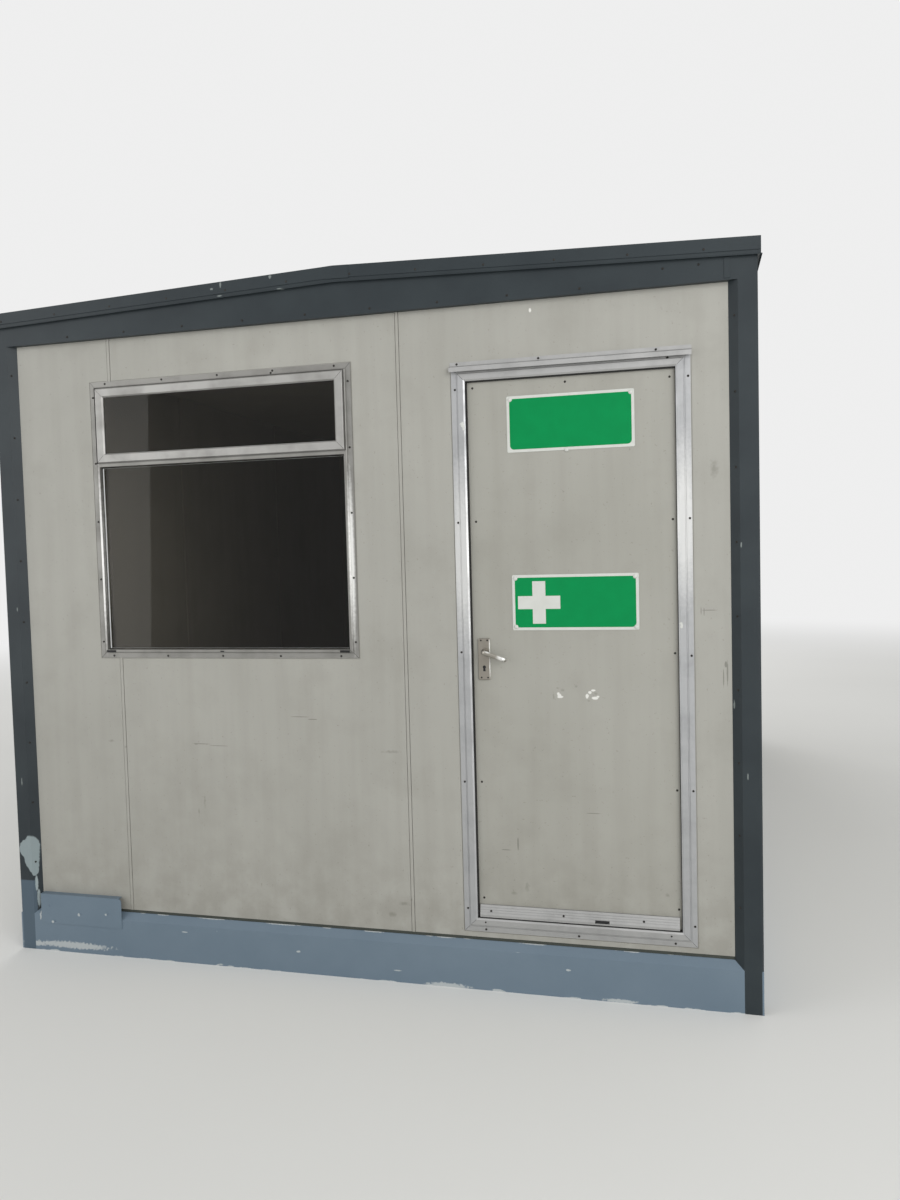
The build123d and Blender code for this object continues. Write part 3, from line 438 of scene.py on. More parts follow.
# The window frame has a darker card than the door frame as painted shade, and painted highlights halfway
# up its jambs.
mill_window_painted_light = bare_metal("mill_finish_aluminium_window_painted_light", "8E8D89", "6C6B67", 0.46, LYING,
                         upright=(WINDOW_MIDDLE, WINDOW_UPRIGHTS), metallic=OXIDISED,
                         painted_highlights=JAMB_PAINTED_HIGHLIGHT)
mill_sash = bare_metal("mill_finish_aluminium_sash", "A6A5A2", "7C7B77", 0.44, LYING,
                       upright=(WINDOW_MIDDLE, SASH_UPRIGHTS), metallic=OXIDISED)
# The lever gets painted highlights on its tip and its neck.
satin_handle = bare_metal("satin_anodised_aluminium", "A29E95", "7C786F", 0.30, LYING, 0.8,
                          painted_highlights=LEVER_PAINTED_HIGHLIGHT)
zinc_steel = bare_metal("zinc_plated_steel", "8F908F", "5F5E5B", 0.38, (1, 1, 1), 2.5)
# The right edge of the handle plate gets a painted highlight.
plate_metal = bare_metal("dull_anodised_aluminium", "9A958C", "6F6A61", 0.36, STANDING, 0.8,
                         painted_highlights=PLATE_PAINTED_HIGHLIGHT)
dark_screws = bare_metal("tarnished_zinc_screws", "32302D", "1F1C1A", 0.5, (1, 1, 1), 1.0, metallic=0.6)
print("metals done")

# %% [markdown]
# Glass is a thin clear sheet with a slight bronze body tint. A transmission shader shows the dim room
# behind it, and a trace of dust keeps it from looking like an empty hole. Real glass has an index of
# 1.52. These panes mirror very little of what stands before them, so a lower one matches them.

# %% Float glass
glass, tree, place = new_finish("float_glass")
film = patches(tree, place, 240, 0.35, 0.8, detail=5.0)
film_rough = add(tree, "ShaderNodeMapRange", {"Value": film, "To Min": 0.0, "To Max": 0.03}).outputs[0]
clear = add(tree, "ShaderNodeBsdfPrincipled", {
    "Base Color": paint("A8A297"), "Roughness": film_rough, "Transmission Weight": 1.0,
    "IOR": 1.25, "Specular IOR Level": 0.3})
add(tree, "ShaderNodeOutputMaterial", {"Surface": clear.outputs[0]})

# %% [markdown]
# Inside are a dark sealed plywood deck, sawn softwood joists and a white faced ceiling board. They
# show through the window and the open door, and from below. Plywood and softwood both get a grain
# that is stretched along the board.

# %% Boards, rubber and plastics


def timber(name, card, late_card, grain, stretch, rough, share):
    finish, tree, place = new_finish(name)
    rings = patches(tree, place, grain, 0.38, 0.62, detail=4.0, stretch=stretch)
    colour = blend(tree, rings, paint(card), paint(late_card), share)
    age = patches(tree, place, 300, 0.3, 0.75, detail=4.0, shift=8.0)
    colour = blend(tree, age, colour, paint(late_card), 0.3)
    finish_surface(tree, {
        "Base Color": colour, "Roughness": rough, "Normal": bump(tree, rings, 0.2, 0.5)})
    return finish


softwood = timber("sawn_softwood", "C0A176", "8F6B42", 9, (1, 0.05, 1), 0.7, 0.6)
deck_board = timber("phenolic_plywood", "4B423A", "37302A", 6, (1, 0.04, 1), 0.45, 0.5)
ceiling_face = timber("melamine_faced_board", "D3D2CC", "BDBBB3", 200, (1, 1, 1), 0.5, 0.3)


def moulded(name, card, rough, grain, depth, age_card, shine=0.3):
    finish, tree, place = new_finish(name)
    tone = patches(tree, place, 45, 0.3, 0.7, detail=4.0)
    colour = blend(tree, tone, paint(card), paint(age_card), 0.5)
    skin = patches(tree, place, grain, 0.3, 0.7, detail=2.0)
    finish_surface(tree, {
        "Base Color": colour, "Roughness": rough, "Specular IOR Level": shine,
        "Normal": bump(tree, skin, depth, 0.5)})
    return finish


black_rubber = moulded("epdm_rubber", "1C1C1B", 0.65, 1.5, 0.05, "2A2927")
black_plastic = moulded("moulded_nylon", "151516", 0.4, 1.0, 0.03, "1F1F20")
# The window bead's near-white is partly a painted highlight for the lit line at the edge of the pane.
bead_painted_highlight = moulded("pvc_bead_painted_highlight", "F2F3F1", 0.4, 3.0, 0.02, "E2E3E1")
sign_green = moulded("rigid_pvc_green", "008548", 0.45, 3.0, 0.02, "007B42", shine=0.12)
sign_white = moulded("rigid_pvc_white", "C9CBC6", 0.45, 3.0, 0.02, "BDBEB8")
print("boards and plastics done")

# %% [markdown]
# Every node of the construction names a slot in the record, so the finishes go on by slot. The
# aluminium is the exception: its upright and level bars get die lines that run their own way.

# %% Give the construction its finishes
FINISHES = {
    "frame_paint": frame_enamel, "base_paint": base_enamel, "wall_panel": wall_steel,
    "roof_sheet": roof_steel, "timber": softwood, "floor_board": deck_board,
    "ceiling_board": ceiling_face, "mill_aluminium": mill_lying, "window_pane": glass,
    "door_skin": door_steel, "handle_metal": satin_handle, "hinge_steel": zinc_steel,
}
OWN_FINISHES = {
    "door_jamb_left": mill_standing, "door_jamb_right": mill_standing,
    "window_frame": mill_window_painted_light, "window_transom": mill_window_painted_light, "vent_sash": mill_sash,
    "handle_plate_outside": plate_metal, "handle_plate_inside": plate_metal,
}
for entry in frame["record"]["subparts"]:
    name = entry["node"]
    node_mesh = frame["nodes"][name].data
    finish = OWN_FINISHES.get(name, FINISHES[entry["material_slot"]])
    node_mesh.materials.clear()
    node_mesh.materials.append(finish)

# %% [markdown]
# Light goes through a pane almost unbent. A path tracer finds such light only by luck and leaves
# grain in the room behind, so shadow rays and rays scattered about the room pass the two panes by.
# Rays from the eye and from mirrors still meet them.

# %% Panes that light passes
for name in ("window_glass", "vent_glass"):
    pane = frame["nodes"][name]
    pane.visible_shadow = False
    pane.visible_diffuse = False
    print(name, "lets the light in")

# %% [markdown]
# A piece is made in a bmesh, placed by its own vertices, and handed over as an object at the
# origin that rides on a body of the frame. Many pieces start as flat faces, which are then given a
# depth.

# %% Hand over a piece


def piece(name, shape, finish, body, smooth=False):
    """Turn a bmesh into an object that rides on a body."""
    bmesh.ops.remove_doubles(shape, verts=shape.verts, dist=0.00001)
    bmesh.ops.recalc_face_normals(shape, faces=shape.faces)
    mesh = bpy.data.meshes.new(name)
    for face in shape.faces:
        face.smooth = smooth
    shape.to_mesh(mesh)
    shape.free()
    mesh.materials.append(finish)
    made = bpy.data.objects.new(name, mesh)
    bpy.context.scene.collection.objects.link(made)
    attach(made, body)
    print(name, "faces", len(mesh.polygons), "on", body)
    return made


def flat_face(shape, corners):
    """One flat face through its corners."""
    return shape.faces.new([shape.verts.new(corner) for corner in corners])


def upright_face(shape, left, right, foot, top, depth):
    """One flat face that looks forward, in millimetres from the frame's origin."""
    corners = ((left, foot), (right, foot), (right, top), (left, top))
    return flat_face(shape, [Vector((x, depth, z)) * MM for x, z in corners])


def vertices(parts):
    """The vertices among the parts that a bmesh operator hands back."""
    return [part for part in parts if isinstance(part, bmesh.types.BMVert)]


def deepen(shape, faces, depth):
    """Give flat faces a depth into the wall, in millimetres, and return the new vertices."""
    back = vertices(bmesh.ops.extrude_face_region(shape, geom=faces, use_keep_orig=True)["geom"])
    bmesh.ops.translate(shape, vec=INWARD * depth * MM, verts=back)
    return back


def turn_round(shape, verts, degrees):
    """Turn vertices about the upright axis of the cabin."""
    bmesh.ops.rotate(
        shape, cent=(0, 0, 0), matrix=Matrix.Rotation(radians(degrees), 3, "Z"), verts=verts)


def round_corners(shape, face, radius, segments):
    """Cut the corners of a flat face round."""
    return bmesh.ops.bevel(
        shape, geom=list(face.verts), offset=radius * MM, offset_type="OFFSET", segments=segments,
        profile=0.5, affect="VERTICES", material=-1, clamp_overlap=True)


# %% [markdown]
# Screws and rivets. Their heads are turned parts, so half an outline is spun once round its axis.
# One head is made at the origin, then copied to every place where the real one has a fastener.

# %% Spun heads
PAN_SCREW = [(0, 1.2), (1.1, 1.3), (1.3, 2.4), (2.8, 2.3), (3.8, 1.4), (4.2, 0.2), (4.2, -0.4), (0, -0.4)]
SMALL_SCREW = [(0, 0.6), (0.9, 0.7), (1.1, 1.3), (2.4, 1.2), (3.2, 0.6), (3.4, -0.3), (0, -0.3)]
FLAT_RIVET = [(0, 1.0), (1.6, 1.1), (3.4, 0.9), (4.2, 0.3), (4.2, -0.3), (0, -0.3)]
HEX_FIXING = [(0, 4.0), (3.6, 4.0), (4.6, 3.5), (4.6, 1.5), (9.0, 1.1), (9.5, 0.4), (9.5, -0.4), (0, -0.4)]


def spun_head(shape, outline, facing, steps):
    """One head at the origin, spun from its outline of (radius, height) in millimetres."""
    turn = Vector((0, 0, 1)).rotation_difference(facing).to_matrix()
    points = [shape.verts.new(turn @ Vector((radius, 0, rise)) * MM) for radius, rise in outline]
    edges = [shape.edges.new(pair) for pair in zip(points, points[1:])]
    bmesh.ops.spin(
        shape, geom=points + edges, cent=(0, 0, 0), axis=facing, dvec=(0, 0, 0),
        angle=2 * pi, steps=steps, use_merge=True, use_duplicate=False)
    bmesh.ops.remove_doubles(shape, verts=shape.verts, dist=0.00001)


def heads(name, places, outline, finish, body, facing=OUTWARD, steps=10):
    """The same head at every place, as one piece."""
    shape = bmesh.new()
    spun_head(shape, outline, facing, steps)
    first = list(shape.verts) + list(shape.edges) + list(shape.faces)
    for place in places[1:]:
        copied = bmesh.ops.duplicate(shape, geom=first)["geom"]
        bmesh.ops.translate(shape, vec=place, verts=vertices(copied))
    bmesh.ops.translate(shape, vec=places[0], verts=vertices(first))
    return piece(name, shape, finish, body, smooth=True)


# %% Screws of the window frame
FLANGE_FACE = 3.0
FRAME_RIB_FACE = 6
window_screws = (
    [(x, 2137) for x in (402, 655, 895, 1127, 1376)]
    + [(x, 1048) for x in (391, 635, 876, 1121, 1369)]
    + [(1429, z) for z in (2077, 1832, 1588, 1344, 1101)]
    + [(346, z) for z in (2085, 1823, 1590, 1358, 1105)] + [(1120, 2129)]
)
heads("window_screws", [on_front(x, z, FLANGE_FACE) for x, z in window_screws],
      PAN_SCREW, dark_screws, "cabin")

# %% Screws of the door frame
door_frame_screws = (
    [(1838.5, z) for z in (2016, 1537, 1063, 583, 107)]
    + [(2656, z) for z in (2009, 1526, 1052, 578, 97)]
    + [(x, 31) for x in (1906, 2249, 2589)] + [(2588, 2075)]
)
drip_bar_screws = [(1847, 2107), (2144, 2107), (2550, 2106)]
DRIP_BAR_FACE = 2
heads("door_frame_screws", [on_front(x, z, FLANGE_FACE) for x, z in door_frame_screws],
      PAN_SCREW, dark_screws, "cabin")
heads("drip_bar_screws", [on_front(x, z, DRIP_BAR_FACE) for x, z in drip_bar_screws],
      PAN_SCREW, dark_screws, "cabin")
sill_screws = [(1905, 58.5), (2575, 57)]
heads("sill_screws", [on_front(x, z, FRAME_RIB_FACE) for x, z in sill_screws],
      SMALL_SCREW, dark_screws, "cabin")

# %% Rivets of the door leaf
LEAF_FACE = -12.0
leaf_rivets = [
    (1900, 2020), (2235, 2021), (2594, 2013), (1902, 1539), (2599, 1525),
    (2600, 1059), (2601, 575), (1900, 581), (1898, 145), (2602, 149),
]
heads("door_leaf_rivets", [on_front(x, z, LEAF_FACE) for x, z in leaf_rivets],
      FLAT_RIVET, dark_screws, "door")

# %% [markdown]
# The roof edge is trimmed with folded sheet. A flashing laps over its upper part, so that a fine
# shadow runs along its foot, and where the two slopes meet a short lap piece covers the joint. The
# edge falls away from the ridge to both sides, and everything on it follows that fall.

# %% Flashing along the roof edge
HALF_WIDTH = 1488.5
HALF_LENGTH = 2500.0
EDGE_TOP = 2683.0
ROOF_RISE = 50.0
EDGE_REACH = 1498.5
TRIM_FACE = 35.0
FLASHING = 44.0
FLASHING_SHEET = 2.8
LAP_LEFT = -24
LAP_RIGHT = 62
LAP_DROP = FLASHING + 3
LAP_SHEET = 0.9


def edge_height(across):
    """Height of the top of the roof edge above the ground, this far from the ridge."""
    return EDGE_TOP - abs(across) * ROOF_RISE / HALF_WIDTH


def edge_band(shape, start, end, drop, out, thickness):
    """A band below the top of the front roof edge, between two distances from the ridge."""
    corners = ((start, drop), (end, drop), (end, 0), (start, 0))
    front = flat_face(shape, [Vector((
        x, PANEL_FACE - out - thickness, edge_height(x) - down)) * MM for x, down in corners])
    deepen(shape, [front], thickness + 0.1)


for end, turn in (("front", 0), ("back", 180)):
    for kind, left, right, drop, out, sheet in (
            ("flashing", -EDGE_REACH, EDGE_REACH, FLASHING, TRIM_FACE, FLASHING_SHEET),
            ("lap", LAP_LEFT, LAP_RIGHT, LAP_DROP, TRIM_FACE + FLASHING_SHEET, LAP_SHEET)):
        shape = bmesh.new()
        edge_band(shape, left, 0, drop, out, sheet)
        edge_band(shape, 0, right, drop, out, sheet)
        turn_round(shape, shape.verts, turn)
        piece(f"verge_{kind}_{end}", shape, frame_enamel, "cabin")

# %% Screws of the roof edge and the front beam
BEAM_FACE = 25.0
SCREW_PITCH = 255
EDGE_PITCH = 250
EDGE_FIRST = -1433.5
EDGE_SCREW_DROP = 34
EDGE_SCREW_FACE = PANEL_FACE - TRIM_FACE - FLASHING_SHEET
edge_across = [EDGE_FIRST + step * EDGE_PITCH for step in range(12)]
edge_places = [Vector((x, EDGE_SCREW_FACE, edge_height(x) - EDGE_SCREW_DROP)) * MM for x in edge_across]
heads("verge_screws_front", edge_places, FLAT_RIVET, dark_screws, "cabin")
heads("verge_screws_back", [Vector((-p.x, -p.y, p.z)) for p in edge_places], FLAT_RIVET,
      dark_screws, "cabin", facing=INWARD)
beam_row = [on_front(2296 - step * SCREW_PITCH, 2329, BEAM_FACE) for step in range(9)]
beam_places = beam_row + [on_front(2577, 2369, BEAM_FACE), on_front(2694, 2371, BEAM_FACE)]
heads("beam_screws_front", beam_places, PAN_SCREW, dark_screws, "cabin")
print("verge screws", len(edge_places), "beam screws", len(beam_places))

# %% Screws of the foot plate, the back beam and the eaves
FOOT_PLATE_FACE = 28
EAVES_TRIM_FACE = 1498.5
EAVES_SCREW_HEIGHT = 2607
foot_plate_screws = [(194, -23), (322, -14), (70, -61), (46, 2)]
heads("foot_plate_screws", [on_front(x, z, FOOT_PLATE_FACE) for x, z in foot_plate_screws],
      PAN_SCREW, base_enamel, "cabin")
heads("beam_screws_back", [Vector((-p.x, -p.y, p.z)) for p in beam_row], PAN_SCREW,
      dark_screws, "cabin", facing=INWARD)
for side, sign_x in (("left", -1), ("right", 1)):
    places = [Vector((sign_x * EAVES_TRIM_FACE, step * SCREW_PITCH, EAVES_SCREW_HEIGHT)) * MM
              for step in range(-9, 10)]
    heads(f"eaves_screws_{side}", places, PAN_SCREW, dark_screws, "cabin", facing=Vector((sign_x, 0, 0)))

# %% [markdown]
# Each post is folded with a splay on both sides, back to the panels. The splays lie over the ends
# of the panels, and screws about 252 mm apart hold them down. Their heads stand square to the
# slanting sheet, so each splay has its own facing.

# %% Screws of the post splays
SPLAY_REACH = 75.0
SPLAY_DEPTH = 9.2
SPLAY_PITCH = 252
splay_levels = [PANEL_FOOT + 180 + step * SPLAY_PITCH for step in range(9)]
for end, sign_y in (("front", -1), ("back", 1)):
    for side, sign_x in (("left", -1), ("right", 1)):
        splays = {
            "end": ((HALF_WIDTH - SPLAY_REACH, HALF_LENGTH - SPLAY_DEPTH), (-25, 30)),
            "side": ((HALF_WIDTH - SPLAY_DEPTH, HALF_LENGTH - SPLAY_REACH), (30, -25)),
        }
        for where, (spot, normal) in splays.items():
            facing = Vector((sign_x * normal[0], sign_y * normal[1], 0)).normalized()
            heads(f"post_screws_{end}_{side}_{where}",
                  [Vector((sign_x * spot[0], sign_y * spot[1], level)) * MM for level in splay_levels],
                  PAN_SCREW, dark_screws, "cabin", facing=facing, steps=8)

# %% [markdown]
# The roof sheets are held by hexagon screws with washers on every second rib, in four rows down
# each slope, and the ridge cap by a row on each side. They stand square to the slope.

# %% Roof fixings
RIDGE_TOP = 2635.0
ROOF_SKIN = 46.0
RIB_COUNT = 26
RIB_FOOT = 60.0
FIXING_ROWS = (420, 760, 1100, 1400)
CAP_ROW = 128
CAP_SHEET = 2.0
slope = atan2(ROOF_RISE, HALF_WIDTH)
rib_pitch = (2 * HALF_LENGTH - RIB_FOOT) / (RIB_COUNT - 1)
rib_places = [-HALF_LENGTH + RIB_FOOT / 2 + step * rib_pitch for step in range(1, RIB_COUNT, 2)]


def on_roof(across, along, above=0.0):
    """A place on the rib tops, above the frame's origin, in metres."""
    height = RIDGE_TOP - abs(across) * ROOF_RISE / HALF_WIDTH + (ROOF_SKIN + above) / cos(slope)
    return Vector((across, along, height)) * MM


for side, sign in (("left", -1), ("right", 1)):
    up_slope = Vector((sign * sin(slope), 0, cos(slope)))
    rows = [on_roof(sign * across, along) for across in FIXING_ROWS for along in rib_places]
    heads(f"roof_fixings_{side}", rows, HEX_FIXING, zinc_steel, "cabin", up_slope, steps=6)
    cap_row = [on_roof(sign * CAP_ROW, along, CAP_SHEET) for along in rib_places]
    heads(f"ridge_fixings_{side}", cap_row, HEX_FIXING, zinc_steel, "cabin", up_slope, steps=6)
print("fixings a slope", len(FIXING_ROWS) * len(rib_places), "pitch of the ribs", round(rib_pitch, 1))

# %% [markdown]
# Rubber seals. A gasket lies round each pane, and a black wiping seal fills the step between the
# door frame and the leaf; its black also serves as painted shade in the gap round the leaf. The rings
# each start as one flat face on the wall, which is inset to a ring and then given its depth.

# %% Rings and plates on the front wall


def wall_face(shape, left, right, foot, top, out):
    """One flat face in front of the wall, facing out of it."""
    corners = ((left, foot), (right, foot), (right, top), (left, top))
    return flat_face(shape, [on_front(x, z, out) for x, z in corners])


def seal_ring(shape, left, right, foot, top, width, out, depth):
    """A flat ring whose front face stands out of the wall by out, all in millimetres."""
    middle = wall_face(shape, left, right, foot, top, out)
    rim = bmesh.ops.inset_individual(shape, faces=[middle], thickness=width * MM)["faces"]
    bmesh.ops.delete(shape, geom=[middle], context="FACES_ONLY")
    deepen(shape, rim, depth)


def small_plates(name, plates, thickness, finish, body):
    """Thin flat plates, each given as (left, right, foot, top, out) in millimetres."""
    shape = bmesh.new()
    for left, right, foot, top, out in plates:
        front = wall_face(shape, left, right, foot, top, out + thickness)
        deepen(shape, [front], thickness + 0.2)
    return piece(name, shape, finish, body)


# %% Seals
SEALS = {
    "window_gasket": (black_rubber, (367, 1407, 1073, 1808), 5.5, -7.0, 4.1),
    # The bead is a real PVC bead; its near-white colour is partly a painted highlight.
    "window_bead": (bead_painted_highlight, (372.4, 1401.6, 1078.4, 1802.6), 8.0, -3.0, 8.1),
    "vent_seal": (black_rubber, (358.5, 1415.5, 1821.5, 2120.5), 4.6, 14.0, 8.5),
    "vent_gasket": (black_rubber, (397, 1377, 1859, 2082), 3.5, 10.0, 2.0),
}
for name, (finish, outline, width, out, depth) in SEALS.items():
    shape = bmesh.new()
    seal_ring(shape, *outline, width, out, depth)
    piece(name, shape, finish, "cabin")
# The black of the door seal is also painted shade for the gap round the leaf.
small_plates("door_seal", [(1875, 1880.5, 72, 2045, -12), (2611.5, 2614, 72, 2045, -12),
                           (1875, 2614, 2040.5, 2045, -12), (1875, 2614, 72, 76, -12)],
             10.0, black_rubber, "cabin")

# %% [markdown]
# Sealant was run round the outer edge of both frames, and a second ring lies at the foot of the
# window's nose. Their dark colour is painted shade along these edges. All are thin rings, like the seals.

# %% Sealant and painted shade round the frames
# The dark of these rings is painted shade along the frame edges.
sealant_and_edge_shade = moulded("silicone_sealant_painted_shade", "5A584F", 0.6, 3.0, 0.1, "6E6B60")
shape = bmesh.new()
seal_ring(shape, 331.4, 1442.6, 1037.4, 2147.6, 2.8, 1.2, 1.4)
seal_ring(shape, 352.6, 1421.4, 1058.6, 2126.4, 2.2, 3.4, 0.6)
piece("window_sealant_and_shade", shape, sealant_and_edge_shade, "cabin")
shape = bmesh.new()
seal_ring(shape, 1822.2, 2666.8, 19.2, 2097.8, 3.0, 1.2, 1.4)
piece("door_sealant_and_shade", shape, sealant_and_edge_shade, "cabin")

# %% [markdown]
# A dark strip fills the gap under the panels on all four walls and shows as a line there: painted
# shade of that gap. The strips are drawn facing forward and then turned about the middle of the cabin.

# %% Painted shade under the panels
SHADE_STRIP_FOOT = 178
SHADE_STRIP_SET_BACK = 3
SHADE_STRIP_DEPTH = 5
ENDS = (2789, -PANEL_FACE)
SIDES = (4812, 1463.5)
# Painted shade: the dark strip stands in for the shade in the gap under the panels.
gap_shade_strip = moulded("dark_strip_painted_shade", "3A3E39", 0.7, 4.0, 0.2, "4A4D47")
shape = bmesh.new()
for angle, (width, face) in ((0, ENDS), (90, SIDES), (180, ENDS), (270, SIDES)):
    strip = upright_face(shape, -width / 2, width / 2, SHADE_STRIP_FOOT, PANEL_FOOT, SHADE_STRIP_SET_BACK - face)
    turn_round(shape, list(strip.verts) + deepen(shape, [strip], SHADE_STRIP_DEPTH), angle)
piece("sill_painted_shade", shape, gap_shade_strip, "cabin")

# %% [markdown]
# Two black caps cover the drain holes low on the window frame, a thin black plate halfway is the
# painted shade of a third, open hole, and a small folded tab covers the end of the front beam.

# %% Caps, the painted shade of a hole and the beam tab
small_plates("window_drain_caps", [(364, 403, 1062, 1071, 9), (1368, 1406, 1062, 1071, 9)],
             3.0, black_plastic, "cabin")
small_plates("window_drain_hole_painted_shade", [(868, 884, 1064, 1069, 9)], 0.3, black_plastic, "cabin")
small_plates("beam_end_tab", [(2776, 2795, 2318, 2386, BEAM_FACE)], 2.0,
             frame_enamel, "cabin")

# %% [markdown]
# The aluminium bars are cut at 45 degrees and pushed together, and grime settles in the joints. A
# joint is a dark hairline across each corner, from the outer edge of a bar to its inner one. Real
# ones are about 0.3 mm wide and are drawn at 1 mm.

# %% Mitre joints


def corner_runs(left, right, foot, top, start, end, out, corners="abcd"):
    """Diagonal runs at the corners of a frame, from one inset to another."""
    places = {
        "a": (left, foot, 1, 1), "b": (right, foot, -1, 1),
        "c": (right, top, -1, -1), "d": (left, top, 1, -1),
    }
    runs = []
    for corner in corners:
        x, z, dx, dz = places[corner]
        runs.append((x + dx * start, z + dz * start, x + dx * end, z + dz * end, out))
    return runs


def hairlines(name, runs, width, finish, body):
    """Thin straight lines on the front wall, all of one width, as one piece."""
    shape = bmesh.new()
    for x0, z0, x1, z1, out in runs:
        along = Vector((x1 - x0, z1 - z0)).normalized() * width / 2
        aside = Vector((-along.y, along.x))
        corners = ((x0 - aside.x, z0 - aside.y), (x1 - aside.x, z1 - aside.y),
                   (x1 + aside.x, z1 + aside.y), (x0 + aside.x, z0 + aside.y))
        front = flat_face(shape, [on_front(x, z, out + 0.1) for x, z in corners])
        deepen(shape, [front], 0.3)
    return piece(name, shape, finish, body)


DOOR_FRAME = (1825, 2664, 22, 2095)
WINDOW_FRAME = (334, 1440, 1040, 2145)
VENT_SASH = (363, 1411, 1825, 2116)
hairlines("door_frame_mitres", corner_runs(*DOOR_FRAME, 1, 18, 3) + corner_runs(*DOOR_FRAME, 24, 44, 6),
          1.0, black_rubber, "cabin")
hairlines("window_mitres", corner_runs(*WINDOW_FRAME, 1, 20, 3)
          + corner_runs(*WINDOW_FRAME, 24, 33, 9, "ab") + corner_runs(*VENT_SASH, 2, 28, 17),
          1.0, black_rubber, "cabin")

# %% [markdown]
# A mortice lock shows its forend on the edge of the leaf when the door is open: a plate with round
# ends, the latch and the bolt. A matching strike is let into the jamb. Both are drawn facing
# forward about one point and then turned to face their side.

# %% Lock forend and strike
LOCK_MIDDLE = 1232.0
LOCK_DEPTH = -2441
ON_LEAF = (470.5, LOCK_DEPTH, -90)
ON_JAMB = (463.5, LOCK_DEPTH, 90)


def edge_plates(name, plates, thickness, round_by, across, back, turn, finish, body):
    """Rounded plates about (0, LOCK_MIDDLE), turned to stand on an upright face at (across, back)."""
    shape = bmesh.new()
    for left, right, foot, top, rise in plates:
        front = upright_face(shape, left, right, foot, top, -rise - thickness)
        corner = round_corners(shape, front, round_by, 5)["verts"][0]
        deepen(shape, [face for face in shape.faces if corner in face.verts], thickness)
    turn_round(shape, shape.verts, turn)
    bmesh.ops.translate(shape, vec=Vector((across, back, LOCK_MIDDLE)) * MM, verts=shape.verts)
    return piece(name, shape, finish, body)


edge_plates("lock_forend", [(-10, 10, -118, 118, 0)], 1.0, 9.5, *ON_LEAF, zinc_steel, "door")
edge_plates("lock_latch", [(-5.5, 5.5, 10, 38, 1.0), (-5.5, 5.5, -50, -18, 1.0)], 1.2, 1.5,
            *ON_LEAF, satin_handle, "door")
edge_plates("lock_strike", [(-12, 12, -75, 75, 0)], 1.0, 3.0, *ON_JAMB, zinc_steel, "cabin")
# The strike's two holes are thin black plates, the painted shade of the holes.
edge_plates("lock_strike_holes_painted_shade", [(-7, 7, 8, 40, 1.0), (-7, 7, -52, -16, 1.0)], 0.2, 2.0,
            *ON_JAMB, black_plastic, "cabin")

# %% [markdown]
# Somebody once painted near this door. A short run of white paint has dried on each upright of the
# frame, and each is drawn as a row of flat drops that overlap.

# %% Paint drops on the door frame
PAINT_DROP = [(0, 0.6), (2.4, 0.5), (4.3, 0.25), (5.0, -0.2), (0, -0.2)]
RIGHT_RUN = [(2622, 1164), (2624, 1158), (2623, 1152)]
LEFT_RUN = [(1859, 1892), (1864, 1896), (1862, 1886), (1866, 1889), (1867, 1881), (1868, 1874)]
heads("paint_drops", [on_front(x, z, FRAME_RIB_FACE) for x, z in RIGHT_RUN + LEFT_RUN],
      PAINT_DROP, sign_white, "cabin")

# %% [markdown]
# Two enamel-bright plastic signs hang on the door. Each is a white sheet, 450 by 200 mm, with a
# green field printed on it, and is held by screws under white domed caps. The lower one shows the
# white cross that marks first aid everywhere.

# %% Signs
SIGN_WIDTH = 450
SIGN_HEIGHT = 200
SIGN_SHEET = 2.0
SIGN_BORDER = 10
SIGN_PRINT = 0.3
SHEET_CORNER = 5
FIELD_CORNER = 15
CROSS_SPAN = 153
CROSS_ARM = 47
CAP_DOME = [(0, 4.2), (2.6, 4.0), (5.4, 3.1), (7.4, 1.6), (8.2, 0.0), (8.2, -0.4), (0, -0.4)]


def rounded_sheet(name, left, foot, inset, out, thickness, corner, finish):
    """A sheet the size of a sign, less an inset all round, with rounded corners."""
    shape = bmesh.new()
    front = wall_face(shape, left + inset, left + SIGN_WIDTH - inset,
                      foot + inset, foot + SIGN_HEIGHT - inset, out + thickness)
    round_corners(shape, front, corner, 6)
    deepen(shape, list(shape.faces), thickness + 0.1)
    piece(name, shape, finish, "door")


def sign(name, left, foot, caps, cross_at=None):
    """One sign on the leaf: white sheet, green field, caps, and a cross where one is asked for."""
    face = LEAF_FACE + SIGN_SHEET
    rounded_sheet(f"{name}_sheet", left, foot, 0, LEAF_FACE, SIGN_SHEET, SHEET_CORNER, sign_white)
    rounded_sheet(f"{name}_field", left, foot, SIGN_BORDER, face, SIGN_PRINT, FIELD_CORNER, sign_green)
    if cross_at:
        shape = bmesh.new()
        reach, arm = CROSS_SPAN / 2, CROSS_ARM / 2
        x, z = cross_at
        outline = [(-reach, -arm), (-arm, -arm), (-arm, -reach), (arm, -reach), (arm, -arm), (reach, -arm),
                   (reach, arm), (arm, arm), (arm, reach), (-arm, reach), (-arm, arm), (-reach, arm)]
        front = flat_face(shape, [on_front(x + dx, z + dz, face + 2 * SIGN_PRINT) for dx, dz in outline])
        deepen(shape, [front], 0.4)
        piece(f"{name}_cross", shape, sign_white, "door")
    heads(f"{name}_caps", [on_front(x, z, face) for x, z in caps], CAP_DOME, sign_white, "door",
          steps=16)


sign("upper_sign", 2024, 1782, [(2036, 1970), (2462, 1970), (2236, 1784)])
sign("lower_sign", 2030, 1142, [(2042, 1330), (2468, 1330), (2042, 1154), (2470, 1152)],
     cross_at=(2127, 1242))

# %% [markdown]
# The handle plates are held by four small dark screws each, two at the head and two at the foot.
# A thin black plate in the shape of the keyhole, round above and straight below, is its painted shade.

